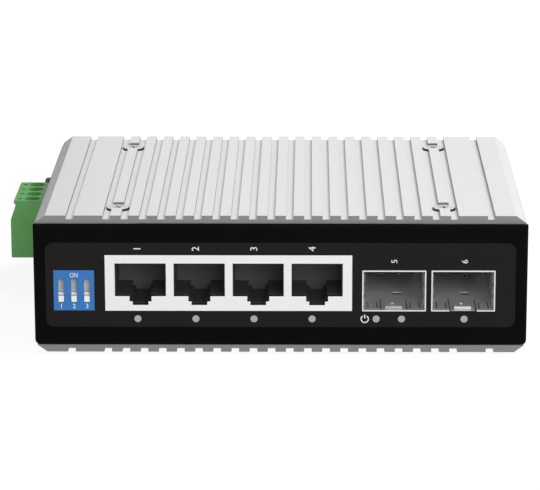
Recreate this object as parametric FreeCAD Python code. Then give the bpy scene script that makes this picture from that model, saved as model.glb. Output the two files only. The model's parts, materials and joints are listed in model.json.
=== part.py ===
import FreeCAD, Part
import math
import os

# DIN rail Ethernet switch: four RJ45 ports, two SFP cages, a plug-in power terminal,
# three mode switches, finned cooling covers and a rail clip with a sprung latch.
#
# Millimetres, +Z up. The long side lies along X, the front panel faces -Y and the unit
# lies on its lower cover. The origin is the middle of that cover's fin tops.
# In use the -X end is the top, so the rail runs along Z behind the rear wall.

V = FreeCAD.Vector
X, Y, Z = V(1, 0, 0), V(0, 1, 0), V(0, 0, 1)

# ---- Housing ------------------------------------------------------------------------
housing_length = 118.8      # X, over the side walls
housing_depth = 86.0        # Y, covers, front to back
housing_height = 34.0       # Z, over the fin tops of both covers
sheet = 1.0                 # chassis sheet
fold_radius = 1.0           # outside radius between walls and flanges
corner_radius = 1.6         # outside radius of the rear corners
flange_width = 25.0         # from a side wall's outer face inwards
flange_relief = 3.0         # gap between a flange's end and the rear wall's outer face

cover_thickness = 1.9
cover_setback = 0.5         # cover edge inside the side wall's outer face
cover_chamfer_run = 2.4
cover_chamfer_rise = 1.7
fin_pitch = 4.4
fin_edge_land = 1.0         # least flat between the last groove and the chamfer
groove_width = 1.85
groove_depth = 0.9

# ---- Screws -------------------------------------------------------------------------
cover_screw_fin = 9         # counted from the middle fin
cover_screw_inset = 10.6    # from a cover's front or rear end
cover_screw_well = 6.3      # well through the fin
cover_screw_well_depth = 1.2
cover_screw_grip = 3.6      # shank below the cover
screw_gap = 0.1             # hole over shank, on the diameter
m3 = 3.0
m3_flat_head = 5.8
m3_flat_head_rim = 0.15     # straight edge of the flat head
m3_pan_head = 5.6
m3_pan_head_height = 2.0
m3_nut = 5.5                # across its flats
m3_nut_height = 2.4

# ---- Front panel and label ----------------------------------------------------------
panel_proud = 1.5
panel_gap = 0.05            # to the covers' inner planes
panel_corner = 1.4
panel_edge_radius = 1.2
panel_rim_depth = 2.8       # rim and tongues behind the plate
panel_rim_wall = 1.2
panel_rim_gap = 0.2
tongue_width = 10.0
tongue_x = 47.0
tongue_hook = 0.8           # hook height into the flange slot

label_side_margin = 2.9
label_height = 21.0
label_rise = 6.6            # label's middle above the board
label_corner = 2.0
label_thickness = 0.2
label_gap = 0.05

# ---- Board --------------------------------------------------------------------------
board_z = 9.0               # underside
board_thickness = 1.6
board_front_gap = 3.2       # behind the covers' front ends
board_rear_gap = 1.0        # to the clip's nuts
board_side_gap = 0.8
board_hole_x = 55.0
board_hole_front = 23.0     # from the covers' front ends
board_hole_rear = 8.5       # from the covers' rear ends
standoff_width = 5.5        # across the flats

# ---- RJ45 ports ---------------------------------------------------------------------
port_count = 4
port_pitch = 14.17
port_1_x = 25.6             # from the left side wall's outer face
port_margin = 7.1           # end port's middle to the jack block's end
jack_setback = 0.2          # behind the panel plate
jack_depth = 18.0
jack_height = 13.5
mouth_width = 11.9
mouth_low = 3.9             # above the board
mouth_high = 11.85
latch_wide = 4.9
latch_wide_low = 2.6
latch_narrow = 3.4
latch_narrow_low = 1.7
mouth_depth = 12.4
port_edge_gap = 0.1         # panel and label opening outside the mouth
contact_count = 8
contact_pitch = 1.02
contact_width = 0.46
contact_height = 0.3
contact_drop = 2.0          # tip below the mouth's ceiling
contact_bay = 1.0           # room above the ceiling
contact_leg_bay = 1.5
shield_sheet = 0.3
shield_gap = 0.06

# ---- SFP cages ----------------------------------------------------------------------
sfp_count = 2
sfp_pitch = 16.61
sfp_after_jacks = 11.51     # jack block's end to the first cage's middle
sfp_opening_width = 15.5
sfp_opening_height = 10.3
sfp_opening_low = 0.1       # above the board
cage_gap = 0.45             # opening to cage, each side
cage_sheet = 0.35
cage_length = 47.0
cage_proud = 0.35           # beyond the panel plate
cage_finger_bulge = 0.27
cage_finger_width = 2.4
cage_finger_pitch = 3.1
cage_finger_length = 4.6
cage_leaf_width = 6.0
cage_leaf_length = 11.0
cage_leaf_slot = 0.5
cage_catch_width = 4.3
cage_catch_length = 2.7
cage_pin_width = 0.9
sfp_socket_width = 11.6
sfp_socket_height = 5.6
sfp_socket_depth = 7.5
sfp_card_slot = 1.3

# ---- Mode switches ------------------------------------------------------------------
dip_from_side = 9.7         # switch middle to the left side wall's outer face
dip_width = 9.8
dip_low = 0.2               # above the board
dip_height = 10.0
dip_depth = 8.6
dip_edge_gap = 0.05
dip_face = 1.2
dip_pitch = 3.1
dip_count = 3
dip_slot_width = 1.5
dip_slot_height = 5.65
dip_slot_low = 2.05         # above the body's bottom
knob_width = 1.3
knob_height = 1.5
knob_gap = 0.08             # knob end to slot end
knob_foot_width = 2.3
knob_foot_height = 2.6
knob_foot_depth = 1.3
dip_base_depth = 2.2

# ---- Light pipes --------------------------------------------------------------------
light_drop = 0.25           # pipe's axis below the board
light_hole = 1.76
light_pipe = 1.7
light_tail = 2.9            # behind the covers' front ends
port_light_pitch = 14.0
port_light_shift = -0.6     # first light from the first port's middle
sfp_light_shifts = (1.82, 0.3)   # each cage's light from its middle
power_light_shift = -4.28   # power light from the first cage's middle
chip_led = 1.1

# ---- Power terminal -----------------------------------------------------------------
way_count = 4
way_pitch = 5.08
terminal_y = 19.7
plug_end_wall = 0.06        # beyond the outer ways' pitch
plug_drop = 1.2             # plug's underside below the board's top
plug_height = 15.1
plug_reach = 10.8           # outermost face beyond the side wall
plug_back_gap = 1.1         # plug shoulder to the side wall
plug_lip = 0.8
plug_top_step = 0.9         # top face short of the outermost face
plug_neck = 0.4
plug_slant_drop = 5.0       # outermost face below the top
plug_foot_chamfer = 0.8
plug_tongue_length = 8.4    # part that enters the header
plug_tongue_rise = 1.7      # above the board
plug_tongue_height = 8.6
plug_tongue_gap = 0.2
screw_access = 4.0
screw_access_x = 5.4        # beyond the side wall
test_slot_x = 8.5
test_slot = 1.1
test_slot_depth = 1.2
header_wall = 1.1
header_back = 1.8
header_proud = 0.8
header_opening_gap = 0.3
header_pin = 1.0
pin_rise = 6.0              # above the board
wire_mouth = 3.5
wire_mouth_height = 3.9
wire_flare = 0.7
clamp_length = 3.9          # X
clamp_width = 3.7           # Y
clamp_wall = 0.9
clamp_floor_rise = 1.5      # above the board
clamp_travel = 2.5
clamp_gap = 0.2
clamp_side = 0.5            # side walls of the clamp
clamp_screw = 2.5
clamp_screw_gap = 0.12
clamp_ledge = 0.5           # plastic over the clamp chamber that the screw head stands on
clamp_screw_head = 3.7
clamp_screw_head_height = 1.4
clamp_screw_slot = 0.7
blade_thickness = 0.45
blade_width = 2.3
blade_pin_gap = 0.06

# ---- Earth screw --------------------------------------------------------------------
earth_y = 37.4
earth_z = 20.0
earth_thread = 4.0
earth_head = 7.0
earth_head_height = 2.8
earth_washer = 7.6
earth_washer_thickness = 0.8
earth_nut = 7.0             # across the flats
earth_nut_height = 3.2

# ---- Rail clip ----------------------------------------------------------------------
rail_width = 35.0
rail_play = 0.3             # rail edge to hook wall
clip_sheet = 1.2
clip_width = 26.0
clip_end_x = 45.0
hook_gap = 1.6              # plate to hook lip
hook_reach = 1.9            # lip behind the rail's edge
guide_x = 20.0
guide_lip = 2.5
latch_gap = 0.15
latch_thickness = 3.8
latch_end_x = 54.0
latch_shoulder_play = 0.7
latch_nose = 1.9            # nose behind the rail's edge
lug_x = 34.0
lug_width = 4.0
lug_height = 2.7
spring_wire = 0.4
spring_diameter = 2.4       # outside
spring_turns = 6
spring_pocket_width = 4.6
spring_pocket_roof = 0.7
pull_slot_length = 2.2
pull_slot_width = 8.0
clip_screw_x = 8.0          # either side of the middle

# ---- Board parts --------------------------------------------------------------------
transformer_size = (12.2, 9.0, 5.6)
transformer_y = -13.0
chip_size = 15.0
chip_height = 1.2
pad_thickness = 1.0
chip_x, chip_y = 2.0, 12.0
spreader_size = 22.0
capacitor_diameter = 8.0
capacitor_height = 11.5
capacitors = ((-40.0, 12.0), (-40.0, 22.0))
inductor_size = 10.0
inductor_height = 5.0
inductor_xy = (-26.0, 26.0)

# ---- Derived places -----------------------------------------------------------------
half_length = housing_length / 2
half_depth = housing_depth / 2
front_y = -half_depth
plate_y = front_y - panel_proud
label_y = plate_y + label_gap
wall_low = cover_thickness
wall_high = housing_height - cover_thickness
inner_low = wall_low + sheet
inner_high = wall_high - sheet
middle_z = housing_height / 2
board_top = board_z + board_thickness
board_front = front_y + board_front_gap
board_rear = half_depth - sheet - m3_nut_height - board_rear_gap
jack_front = front_y + jack_setback
port_xs = [port_1_x - half_length + i * port_pitch for i in range(port_count)]
sfp_xs = [port_xs[-1] + port_margin + sfp_after_jacks + i * sfp_pitch for i in range(sfp_count)]
dip_x = dip_from_side - half_length
label_width = housing_length - 2 * label_side_margin
label_z = board_top + label_rise
light_z = board_z - light_drop
port_lights = [port_xs[0] + port_light_shift + i * port_light_pitch for i in range(port_count)]
sfp_lights = [x + shift for x, shift in zip(sfp_xs, sfp_light_shifts)]
light_xs = dict(zip(("port_1", "port_2", "port_3", "port_4", "power", "port_5", "port_6"),
                    port_lights + [sfp_xs[0] + power_light_shift] + sfp_lights))
plug_low = board_top - plug_drop
plug_tongue_low = board_top + plug_tongue_rise
pin_z = board_top + pin_rise
clamp_floor_z = board_top + clamp_floor_rise
cover_screw_xy = [(side * cover_screw_fin * fin_pitch, end * (half_depth - cover_screw_inset))
                  for side in (-1, 1) for end in (-1, 1)]
board_holes = [(side * board_hole_x, y) for side in (-1, 1)
               for y in (front_y + board_hole_front, half_depth - board_hole_rear)]
way_ys = [terminal_y + (i - (way_count - 1) / 2) * way_pitch for i in range(way_count)]
plate_seat = half_depth + clip_sheet
blade_top = pin_z + header_pin / 2 + blade_pin_gap + blade_thickness
clamp_high = blade_top + clamp_gap / 2 + clamp_wall
clip_screw_xz = [(side * clip_screw_x, middle_z) for side in (-1, 1)]


# ---- Shape helpers ------------------------------------------------------------------
def span(middle, width):
    """Low and high ends of a width about its middle."""
    return middle - width / 2, middle + width / 2


def block(x, y, z):
    """Box between (low, high) pairs along X, Y and Z."""
    return Part.makeBox(x[1] - x[0], y[1] - y[0], z[1] - z[0], V(x[0], y[0], z[0]))


def rod(diameter, start, end):
    """Cylinder between two points."""
    way = end.sub(start)
    return Part.makeCylinder(diameter / 2, way.Length, start, way)


def prism(points, push):
    """Closed outline of points pushed along a vector."""
    return Part.Face(Part.makePolygon(points + points[:1])).extrude(push)


def turned(profile, foot, way):
    """Piece turned on a lathe: (radius, height) points from its foot along a direction."""
    points = [V(radius, 0, height) for radius, height in profile]
    blank = Part.Face(Part.makePolygon(points + points[:1])).revolve(V(), Z, 360)
    return blank.transformShape(FreeCAD.Placement(foot, FreeCAD.Rotation(Z, way)).toMatrix())


def fused(shapes):
    """One solid from touching shapes, with its flush faces merged."""
    return shapes[0].multiFuse(shapes[1:]).removeSplitter() if len(shapes) > 1 else shapes[0]


def edges_along(shape, way, keep=lambda middle: True):
    """Straight edges that run along a direction and whose middle passes the test."""
    found = []
    for edge in shape.Edges:
        run = edge.tangentAt(edge.FirstParameter)
        if isinstance(edge.Curve, Part.Line) and abs(run.dot(way)) > 0.999:
            if keep(edge.CenterOfMass):
                found.append(edge)
    return found


def hexagon(flats, foot, way, height):
    """Hexagonal bar from its foot along a direction."""
    corner = flats / math.sqrt(3)
    points = [V(corner * math.cos(math.radians(60 * i)), corner * math.sin(math.radians(60 * i)), 0)
              for i in range(6)]
    bar = prism(points, V(0, 0, height))
    return bar.transformShape(FreeCAD.Placement(foot, FreeCAD.Rotation(Z, way)).toMatrix())


# ---- Covers and chassis -------------------------------------------------------------
def groove_centres():
    """Middles of one cover's grooves, with none beside the screw fins on the outer side."""
    reach = half_length - cover_setback - cover_chamfer_run - fin_edge_land
    centres = []
    step = 0
    while (step + 0.5) * fin_pitch + groove_width / 2 < reach:
        if step != cover_screw_fin + 1:
            centres += [(step + 0.5) * fin_pitch, -(step + 0.5) * fin_pitch]
        step += 1
    return centres


def flat_head(x, y, neck, rim_top):
    """Cone of a flat head from a neck at the cover's underside, up to a given height."""
    foot = V(x, y, wall_high)
    rim = housing_height - groove_depth - m3_flat_head_rim - wall_high
    return turned([(0, 0), (neck / 2, 0), (m3_flat_head / 2, rim), (m3_flat_head / 2, rim_top), (0, rim_top)],
                  foot, Z)


def flat_screw_cutter(x, y):
    """Well through the fin and conical seat for the flat head, in a top cover."""
    well_floor = housing_height - cover_screw_well_depth
    well = rod(cover_screw_well, V(x, y, well_floor), V(x, y, housing_height + 1))
    return fused([well, flat_head(x, y, m3 + screw_gap, cover_thickness)])


def top_cover():
    """Finned plate with chamfered sides, resting on the chassis flanges."""
    foot = half_length - cover_setback
    crest = foot - cover_chamfer_run
    shoulder = housing_height - cover_chamfer_rise
    outline = [V(-foot, front_y, wall_high), V(foot, front_y, wall_high),
               V(foot, front_y, shoulder), V(crest, front_y, housing_height),
               V(-crest, front_y, housing_height), V(-foot, front_y, shoulder)]
    cutters = [block(span(x, groove_width), (front_y - 1, half_depth + 1),
                     (housing_height - groove_depth, housing_height + 1))
               for x in groove_centres()]
    cutters += [flat_screw_cutter(x, y) for x, y in cover_screw_xy]
    return prism(outline, V(0, housing_depth, 0)).cut(cutters)


def flat_screw(x, y):
    """Flat-head screw of a top cover, its head flush with the groove floors."""
    head = flat_head(x, y, m3, cover_thickness - groove_depth)
    shank = rod(m3, V(x, y, wall_high - cover_screw_grip), V(x, y, wall_high))
    return fused([head, shank])


def turned_over(shape):
    """The same piece under the unit: turned half a turn about the long axis."""
    copy = shape.copy()
    copy.rotate(V(0, 0, middle_z), X, 180)
    return copy


def nut(foot, way, flats, height, thread):
    """Hexagonal nut from its seat along a direction."""
    hole = rod(thread + screw_gap, foot - way, foot + way * (height + 1))
    return hexagon(flats, foot, way, height).cut(hole)


def chassis_wrap():
    """Folded sheet: two side walls with flanges and a rear wall, open at the front."""
    outer = block(span(0, housing_length), (front_y, half_depth), (wall_low, wall_high))
    outer = outer.makeFillet(fold_radius, edges_along(outer, Y))
    outer = outer.makeFillet(corner_radius, edges_along(outer, Z, lambda c: c.y > 0))
    inside_x = half_length - sheet
    inside = block((-inside_x, inside_x), (front_y - 1, half_depth - sheet), (inner_low, inner_high))
    inside = inside.makeFillet(corner_radius - sheet, edges_along(inside, Z, lambda c: c.y > 0))
    window_x = half_length - flange_width
    window = block((-window_x, window_x), (front_y - 1, half_depth - sheet), (0, housing_height))
    relief = block((-inside_x, inside_x), (half_depth - flange_relief, half_depth - sheet),
                   (0, housing_height))
    cutters = [inside, window, relief]
    for x, y in cover_screw_xy:
        cutters.append(rod(m3 + screw_gap, V(x, y, 0), V(x, y, housing_height)))
    for x, z in clip_screw_xz:
        cutters.append(rod(m3 + screw_gap, V(x, half_depth - 2 * sheet, z), V(x, half_depth + 1, z)))
    cutters += [hook_slot(side, low) for side in (-1, 1) for low in (True, False)]
    cutters.append(header_outline(-half_length - 1, -inside_x + 1, header_opening_gap))
    cutters.append(rod(earth_thread + screw_gap, V(-half_length - 1, earth_y, earth_z),
                       V(-inside_x + 1, earth_y, earth_z)))
    return outer.cut(cutters)


def hook_slot(side, low):
    """Cutter for the slot in a flange that takes a panel hook."""
    y = front_y + panel_rim_depth
    depth = (wall_low - 1, inner_low + 0.5) if low else (inner_high - 0.5, wall_high + 1)
    return block(span(side * tongue_x, tongue_width + 0.6), (y - 1.7, y + 0.1), depth)


# ---- Front panel, label and lights --------------------------------------------------
def mouth_cutter(x, depth, grow):
    """Stepped RJ45 opening, from its (front, rear) Y pair, widened by grow all round."""
    steps = ((mouth_width, mouth_low), (latch_wide, latch_wide_low),
             (latch_narrow, latch_narrow_low))
    high = board_top + mouth_high + grow
    return fused([block(span(x, width + 2 * grow), depth, (board_top + low - grow, high))
                  for width, low in steps])


def front_cutters(depth):
    """Every opening that the panel and its label share."""
    cutters = [mouth_cutter(x, depth, port_edge_gap) for x in port_xs]
    sfp_low = board_top + sfp_opening_low
    for x in sfp_xs:
        cutters.append(block(span(x, sfp_opening_width), depth, (sfp_low, sfp_low + sfp_opening_height)))
    low = board_top + dip_low
    cutters.append(block(span(dip_x, dip_width + 2 * dip_edge_gap), depth,
                         (low - dip_edge_gap, low + dip_height + dip_edge_gap)))
    for x in light_xs.values():
        cutters.append(rod(light_hole, V(x, depth[0], light_z), V(x, depth[1], light_z)))
    return cutters


def label_blank(grow, depth):
    """Round-cornered plate of the label's outline."""
    plate = block(span(0, label_width + 2 * grow), depth, span(label_z, label_height + 2 * grow))
    return plate.makeFillet(label_corner + grow, edges_along(plate, Y))


def front_panel():
    """Moulded plate with a rounded front edge, a rear rim and four snap tongues."""
    low, high = wall_low + panel_gap, wall_high - panel_gap
    plate = block(span(0, housing_length), (plate_y, front_y), (low, high))
    plate = plate.makeFillet(panel_corner, edges_along(plate, Y))
    front_edges = [edge for edge in plate.Edges if abs(edge.CenterOfMass.y - plate_y) < 0.01]
    plate = plate.makeFillet(panel_edge_radius, front_edges)
    rim_x = half_length - sheet - panel_rim_gap
    rim_low, rim_high = inner_low + panel_rim_gap, inner_high - panel_rim_gap
    rim_depth = (front_y, front_y + panel_rim_depth)
    rim = block((-rim_x, rim_x), rim_depth, (rim_low, rim_high))
    hollow = block((-rim_x + panel_rim_wall, rim_x - panel_rim_wall), (front_y - 1, rim_depth[1] + 1),
                   (rim_low + panel_rim_wall, rim_high - panel_rim_wall))
    pieces = [plate, rim.cut(hollow)]
    pieces += [panel_hook(side, low_side) for side in (-1, 1) for low_side in (True, False)]
    recess = label_blank(label_gap, (plate_y - 1, plate_y + label_thickness + label_gap))
    return fused(pieces).cut([recess] + front_cutters((plate_y - 1, rim_depth[1])))


def panel_hook(side, low):
    """Sloped hook on the rim that snaps into a flange slot."""
    y = front_y + panel_rim_depth
    edge = inner_low + panel_rim_gap if low else inner_high - panel_rim_gap
    out = -1 if low else 1
    x = side * tongue_x - tongue_width / 2
    catch = edge + out * (panel_rim_gap + tongue_hook)
    outline = [V(x, y, edge - out * 0.5), V(x, y, edge), V(x, y - 1.0, catch), V(x, y - 1.5, catch),
               V(x, y - 1.5, edge - out * 0.5)]
    return prism(outline, V(tongue_width, 0, 0))


def front_label():
    """Printed film in the panel's recess."""
    blank = label_blank(0, (label_y, label_y + label_thickness))
    return blank.cut(front_cutters((plate_y - 1, front_y)))


def light_pipe_piece(x):
    """Clear rod through the panel and its label."""
    return rod(light_pipe, V(x, label_y, light_z), V(x, front_y + light_tail, light_z))


def led_chips():
    """Side-view chips under the board's front edge, one behind each light pipe."""
    front = board_front + 0.1
    return [block(span(x, chip_led * 1.5), (front, front + chip_led), (board_z - chip_led, board_z))
            for x in light_xs.values()]


# ---- Board and its fixings ----------------------------------------------------------
def main_board():
    """Circuit board on four standoffs."""
    half = half_length - sheet - board_side_gap
    board = block((-half, half), (board_front, board_rear), (board_z, board_top))
    cutters = [rod(m3 + 0.2, V(x, y, 0), V(x, y, middle_z)) for x, y in board_holes]
    cutters += [pin_leg(y, 0.2) for y in way_ys]
    return board.cut(cutters)


def board_standoffs():
    """Hexagonal pillars pressed into the lower flanges."""
    pillars = []
    for x, y in board_holes:
        pillar = hexagon(standoff_width, V(x, y, inner_low), Z, board_z - inner_low)
        pillars.append(pillar.cut(rod(m3 + screw_gap, V(x, y, 0), V(x, y, middle_z))))
    return pillars


def pan_screw(seat, out, length, thread, head, crown):
    """Pan-head screw: its head stands on a seat point, out leads away from the seat."""
    return turned([(0, -length), (thread / 2, -length), (thread / 2, 0), (head / 2, 0),
                   (head / 2, crown), (0, crown)], seat, out)


def m3_pan_screw(seat, out, length):
    """M3 pan-head screw."""
    return pan_screw(seat, out, length, m3, m3_pan_head, m3_pan_head_height)


def board_screws():
    """Screws through the board into the standoffs."""
    return [m3_pan_screw(V(x, y, board_top), Z, board_thickness + 4.5) for x, y in board_holes]


# ---- RJ45 jack block ----------------------------------------------------------------
def jack_span():
    """X pair of the jack block."""
    return port_xs[0] - port_margin, port_xs[-1] + port_margin


def contact_bay_width():
    """Width of the bay that holds one port's contacts."""
    return contact_count * contact_pitch + 0.6


def rj45_housing():
    """Moulded block with one stepped cavity for each port and a bay for its contacts."""
    rear = jack_front + jack_depth
    body = block(jack_span(), (jack_front, rear), (board_top, board_top + jack_height))
    cutters = []
    for x in port_xs:
        ceiling = board_top + mouth_high
        bay = span(x, contact_bay_width())
        cutters.append(mouth_cutter(x, (jack_front - 1, jack_front + mouth_depth), 0))
        cutters.append(block(bay, (jack_front + 1.2, rear + 1), (ceiling - 0.01, ceiling + contact_bay)))
        cutters.append(block(bay, (rear - contact_leg_bay, rear + 1), (board_top - 1, ceiling + 0.5)))
    return body.cut(cutters)


def rj45_contacts(port_x):
    """Eight sprung contacts: a sloping finger, a run over the cavity and a leg to the board."""
    ceiling = board_top + mouth_high
    run_top = ceiling + contact_bay - 0.2
    run_low = run_top - contact_height
    bend_y = jack_front + 1.8
    tip_y = bend_y + 9.4
    leg_rear = jack_front + jack_depth - 0.4
    leg_front = leg_rear - contact_height
    tip_z = ceiling - contact_drop
    wires = []
    for i in range(contact_count):
        x = port_x + (i - (contact_count - 1) / 2) * contact_pitch - contact_width / 2
        outline = [V(x, tip_y, tip_z), V(x, tip_y, tip_z + contact_height),
                   V(x, bend_y + 1.2, run_low), V(x, leg_front, run_low),
                   V(x, leg_front, board_top), V(x, leg_rear, board_top), V(x, leg_rear, run_top),
                   V(x, bend_y, run_top), V(x, bend_y, run_low - contact_height)]
        wires.append(prism(outline, V(contact_width, 0, 0)))
    return wires


def rj45_shield():
    """Tinned sheet over the jack block's top, ends and rear."""
    low, high = jack_span()
    rear = jack_front + jack_depth + shield_gap
    top = board_top + jack_height + shield_gap
    room = block((low - shield_gap, high + shield_gap), (jack_front - 1, rear), (board_top - 1, top))
    sheet_x = (low - shield_gap - shield_sheet, high + shield_gap + shield_sheet)
    skin = block(sheet_x, (jack_front, rear + shield_sheet), (board_top, top + shield_sheet))
    return skin.cut(room)


# ---- SFP cages ----------------------------------------------------------------------
def cage_outside():
    """Outer width and (low, high) pair of a cage."""
    low = board_top + sfp_opening_low + cage_gap
    high = board_top + sfp_opening_low + sfp_opening_height - cage_gap
    return sfp_opening_width - 2 * cage_gap, low, high


def cage_finger(x, y, z, along, out):
    """Bowed spring finger on a cage: middle of its root, direction along the wall, outward way."""
    root = V(x, y, z) - along * (cage_finger_width / 2)
    crest = root + V(0, cage_finger_length * 0.35, 0) + out * cage_finger_bulge
    sink = out * (cage_sheet * 0.5)
    points = [root - sink, root, crest, crest + V(0, cage_finger_length * 0.2, 0),
              root + V(0, cage_finger_length, 0), root + V(0, cage_finger_length, 0) - sink]
    return prism(points, along * cage_finger_width)


def sfp_cage(x):
    """Sheet cage: rectangular tube, sprung collar, latch leaf and board pins."""
    width, low, high = cage_outside()
    front = plate_y - cage_proud
    rear = front + cage_length
    inner_x = span(x, width - 2 * cage_sheet)
    tube = block(span(x, width), (front, rear), (low, high))
    tube = tube.cut(block(inner_x, (front - 1, rear - cage_sheet),
                          (low + cage_sheet, high - cage_sheet)))
    pieces = [tube]
    finger_y = front + 0.25
    for i in range(4):
        finger_x = x + (i - 1.5) * cage_finger_pitch
        pieces.append(cage_finger(finger_x, finger_y, high, X, Z))
        if i in (0, 3):
            pieces.append(cage_finger(finger_x, finger_y, low, X, -Z))
    for side in (-1, 1):
        for i in range(2):
            finger_z = (low + high) / 2 + (i - 0.5) * cage_finger_pitch
            pieces.append(cage_finger(x + side * width / 2, finger_y, finger_z, Z, X * side))
    for side in (-1, 1):
        for reach in (14.0, 26.0, 38.0):
            wall = sorted((x + side * width / 2, x + side * (width / 2 - cage_sheet)))
            pieces.append(block(wall, span(front + reach, cage_pin_width), (board_top, low + 1)))
    floor = (low - 1, low + cage_sheet + 0.1)
    leaf_x = cage_leaf_width / 2
    leaf_rear = front + cage_leaf_length
    cutters = [block((x + side * leaf_x - cage_leaf_slot / 2, x + side * leaf_x + cage_leaf_slot / 2),
                     (front + 0.6, leaf_rear), floor) for side in (-1, 1)]
    cutters.append(block(span(x, cage_catch_width), (front + 1.1, front + 1.1 + cage_catch_length), floor))
    cutters.append(block(span(x, 2.1), (front + 13.3, front + 16.3), floor))
    socket_rear = rear - 1.0
    cutters.append(block(span(x, sfp_socket_width + 1), (socket_rear - sfp_socket_depth - 2, socket_rear + 0.3),
                         (low - 1, low + cage_sheet + 0.05)))
    return fused(pieces).cut(cutters)


def sfp_connector(x):
    """Card-edge connector on the board inside a cage's rear end."""
    rear = plate_y - cage_proud + cage_length - 1.4
    depth = (rear - sfp_socket_depth, rear)
    body = block(span(x, sfp_socket_width), depth, (board_top, board_top + sfp_socket_height))
    slot_z = span(board_top + sfp_socket_height * 0.62, sfp_card_slot)
    slot = block(span(x, sfp_socket_width - 2.4), (depth[0] - 1, depth[1] - 1.5), slot_z)
    return body.cut(slot)


# ---- Mode switches ------------------------------------------------------------------
def dip_span():
    """Y pair of the switch body and Z pair of its height."""
    front = plate_y + 0.1
    low = board_top + dip_low
    return (front, front + dip_depth), (low, low + dip_height)


def dip_slots():
    """(x, z pair) of each slider's slot in the face."""
    low = dip_span()[1][0] + dip_slot_low
    middle = (dip_count - 1) / 2
    return [(dip_x + (i - middle) * dip_pitch, (low, low + dip_slot_height)) for i in range(dip_count)]


def dip_chamber(x, z, grow):
    """Room behind a slot where the slider's foot runs, with an allowance at each end."""
    front = dip_span()[0][0] + dip_face
    side = knob_foot_width / 2 + 0.12
    reach = (knob_foot_height - knob_height) / 2 + 0.12
    return block((x - side, x + side), (front, front + knob_foot_depth + grow), (z[0] - reach, z[1] + reach))


def dip_switch_body():
    """Blue case with a slot and a chamber for each slider."""
    y, z = dip_span()
    case = block(span(dip_x, dip_width), y, z)
    base_room = block(span(dip_x, dip_width - 1.6), (y[1] - dip_base_depth, y[1] + 1), (z[0] + 0.8, z[1] - 0.8))
    cutters = [base_room]
    for x, slot_z in dip_slots():
        cutters.append(block(span(x, dip_slot_width), (y[0] - 1, y[0] + dip_face + 0.5), slot_z))
        cutters.append(dip_chamber(x, slot_z, y[1] - y[0] - dip_face - knob_foot_depth - dip_base_depth))
    return case.cut(cutters)


def dip_switch_base():
    """Black base that closes the case's rear, with its pads on the board."""
    y, z = dip_span()
    rear = (y[1] - dip_base_depth, y[1])
    gap = 0.03
    plug = block(span(dip_x, dip_width - 1.6 - 2 * gap), rear, (z[0] + 0.8 + gap, z[1] - 0.8 - gap))
    foot_top = z[0] + 2.6
    legs = []
    for x, _ in dip_slots():
        outline = [V(x - 0.3, rear[1], foot_top), V(x - 0.3, rear[1], foot_top - 0.5),
                   V(x - 0.3, rear[1] + 0.7, foot_top - 0.5), V(x - 0.3, rear[1] + 0.7, board_top),
                   V(x - 0.3, rear[1] + 2.2, board_top), V(x - 0.3, rear[1] + 2.2, board_top + 0.3),
                   V(x - 0.3, rear[1] + 1.1, board_top + 0.3), V(x - 0.3, rear[1] + 1.1, foot_top)]
        legs.append(prism(outline, V(0.6, 0, 0)))
    return fused([plug] + legs)


def dip_slider(x, slot_z):
    """White knob with a foot that runs in the chamber; at rest it is at the slot's lower end."""
    front = dip_span()[0][0]
    knob_z = (slot_z[0] + knob_gap, slot_z[0] + knob_gap + knob_height)
    foot_front = front + dip_face + 0.1
    knob = block(span(x, knob_width), (front, foot_front + 0.2), knob_z)
    foot = block(span(x, knob_foot_width), (foot_front, foot_front + knob_foot_depth - 0.2),
                 span(sum(knob_z) / 2, knob_foot_height))
    return fused([knob, foot])


# ---- Power terminal -----------------------------------------------------------------
def plug_width():
    """Y pair of the plug body."""
    return span(terminal_y, way_count * way_pitch + 2 * plug_end_wall)


def tongue_width_pair():
    """Y pair of the plug's tongue."""
    return span(terminal_y, way_count * way_pitch - 0.5)


def plug_shoulder():
    """X of the plug's face beside the header."""
    return -half_length - plug_back_gap


def header_outline(x_low, x_high, grow):
    """Block of the header's outer section between two X places."""
    room = plug_tongue_gap + header_wall + grow
    y_low, y_high = tongue_width_pair()
    return block((x_low, x_high), (y_low - room, y_high + room),
                 (board_top - grow if grow else board_top, plug_tongue_low + plug_tongue_height + room))


def terminal_header():
    """Socket on the board, its mouth through the side wall."""
    mouth = -half_length - header_proud
    back = plug_shoulder() + plug_tongue_length + 0.4
    body = header_outline(mouth, back + header_back, 0)
    y_low, y_high = tongue_width_pair()
    gap = plug_tongue_gap
    room = block((mouth - 1, back), (y_low - gap, y_high + gap),
                 (plug_tongue_low - gap, plug_tongue_low + plug_tongue_height + gap))
    cutters = [room]
    for y in way_ys:
        cutters.append(block((back - 1, back + header_back + 1), span(y, header_pin), span(pin_z, header_pin)))
    return body.cut(cutters)


def pin_leg(y, grow):
    """The part of a header pin that goes down through the board."""
    x = plug_shoulder() + plug_tongue_length + 0.4 + header_back + 0.8
    return block((x - grow, x + header_pin + grow), (y - header_pin / 2 - grow, y + header_pin / 2 + grow),
                 (board_z - 1.2, pin_z + header_pin / 2))


def header_pins():
    """Square pins, bent down to the board behind the header."""
    tip = plug_shoulder() + 1.6
    pins = []
    for y in way_ys:
        leg = pin_leg(y, 0)
        run = block((tip, leg.BoundBox.XMax), span(y, header_pin), span(pin_z, header_pin))
        pins.append(fused([leg, run]))
    return pins


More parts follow.
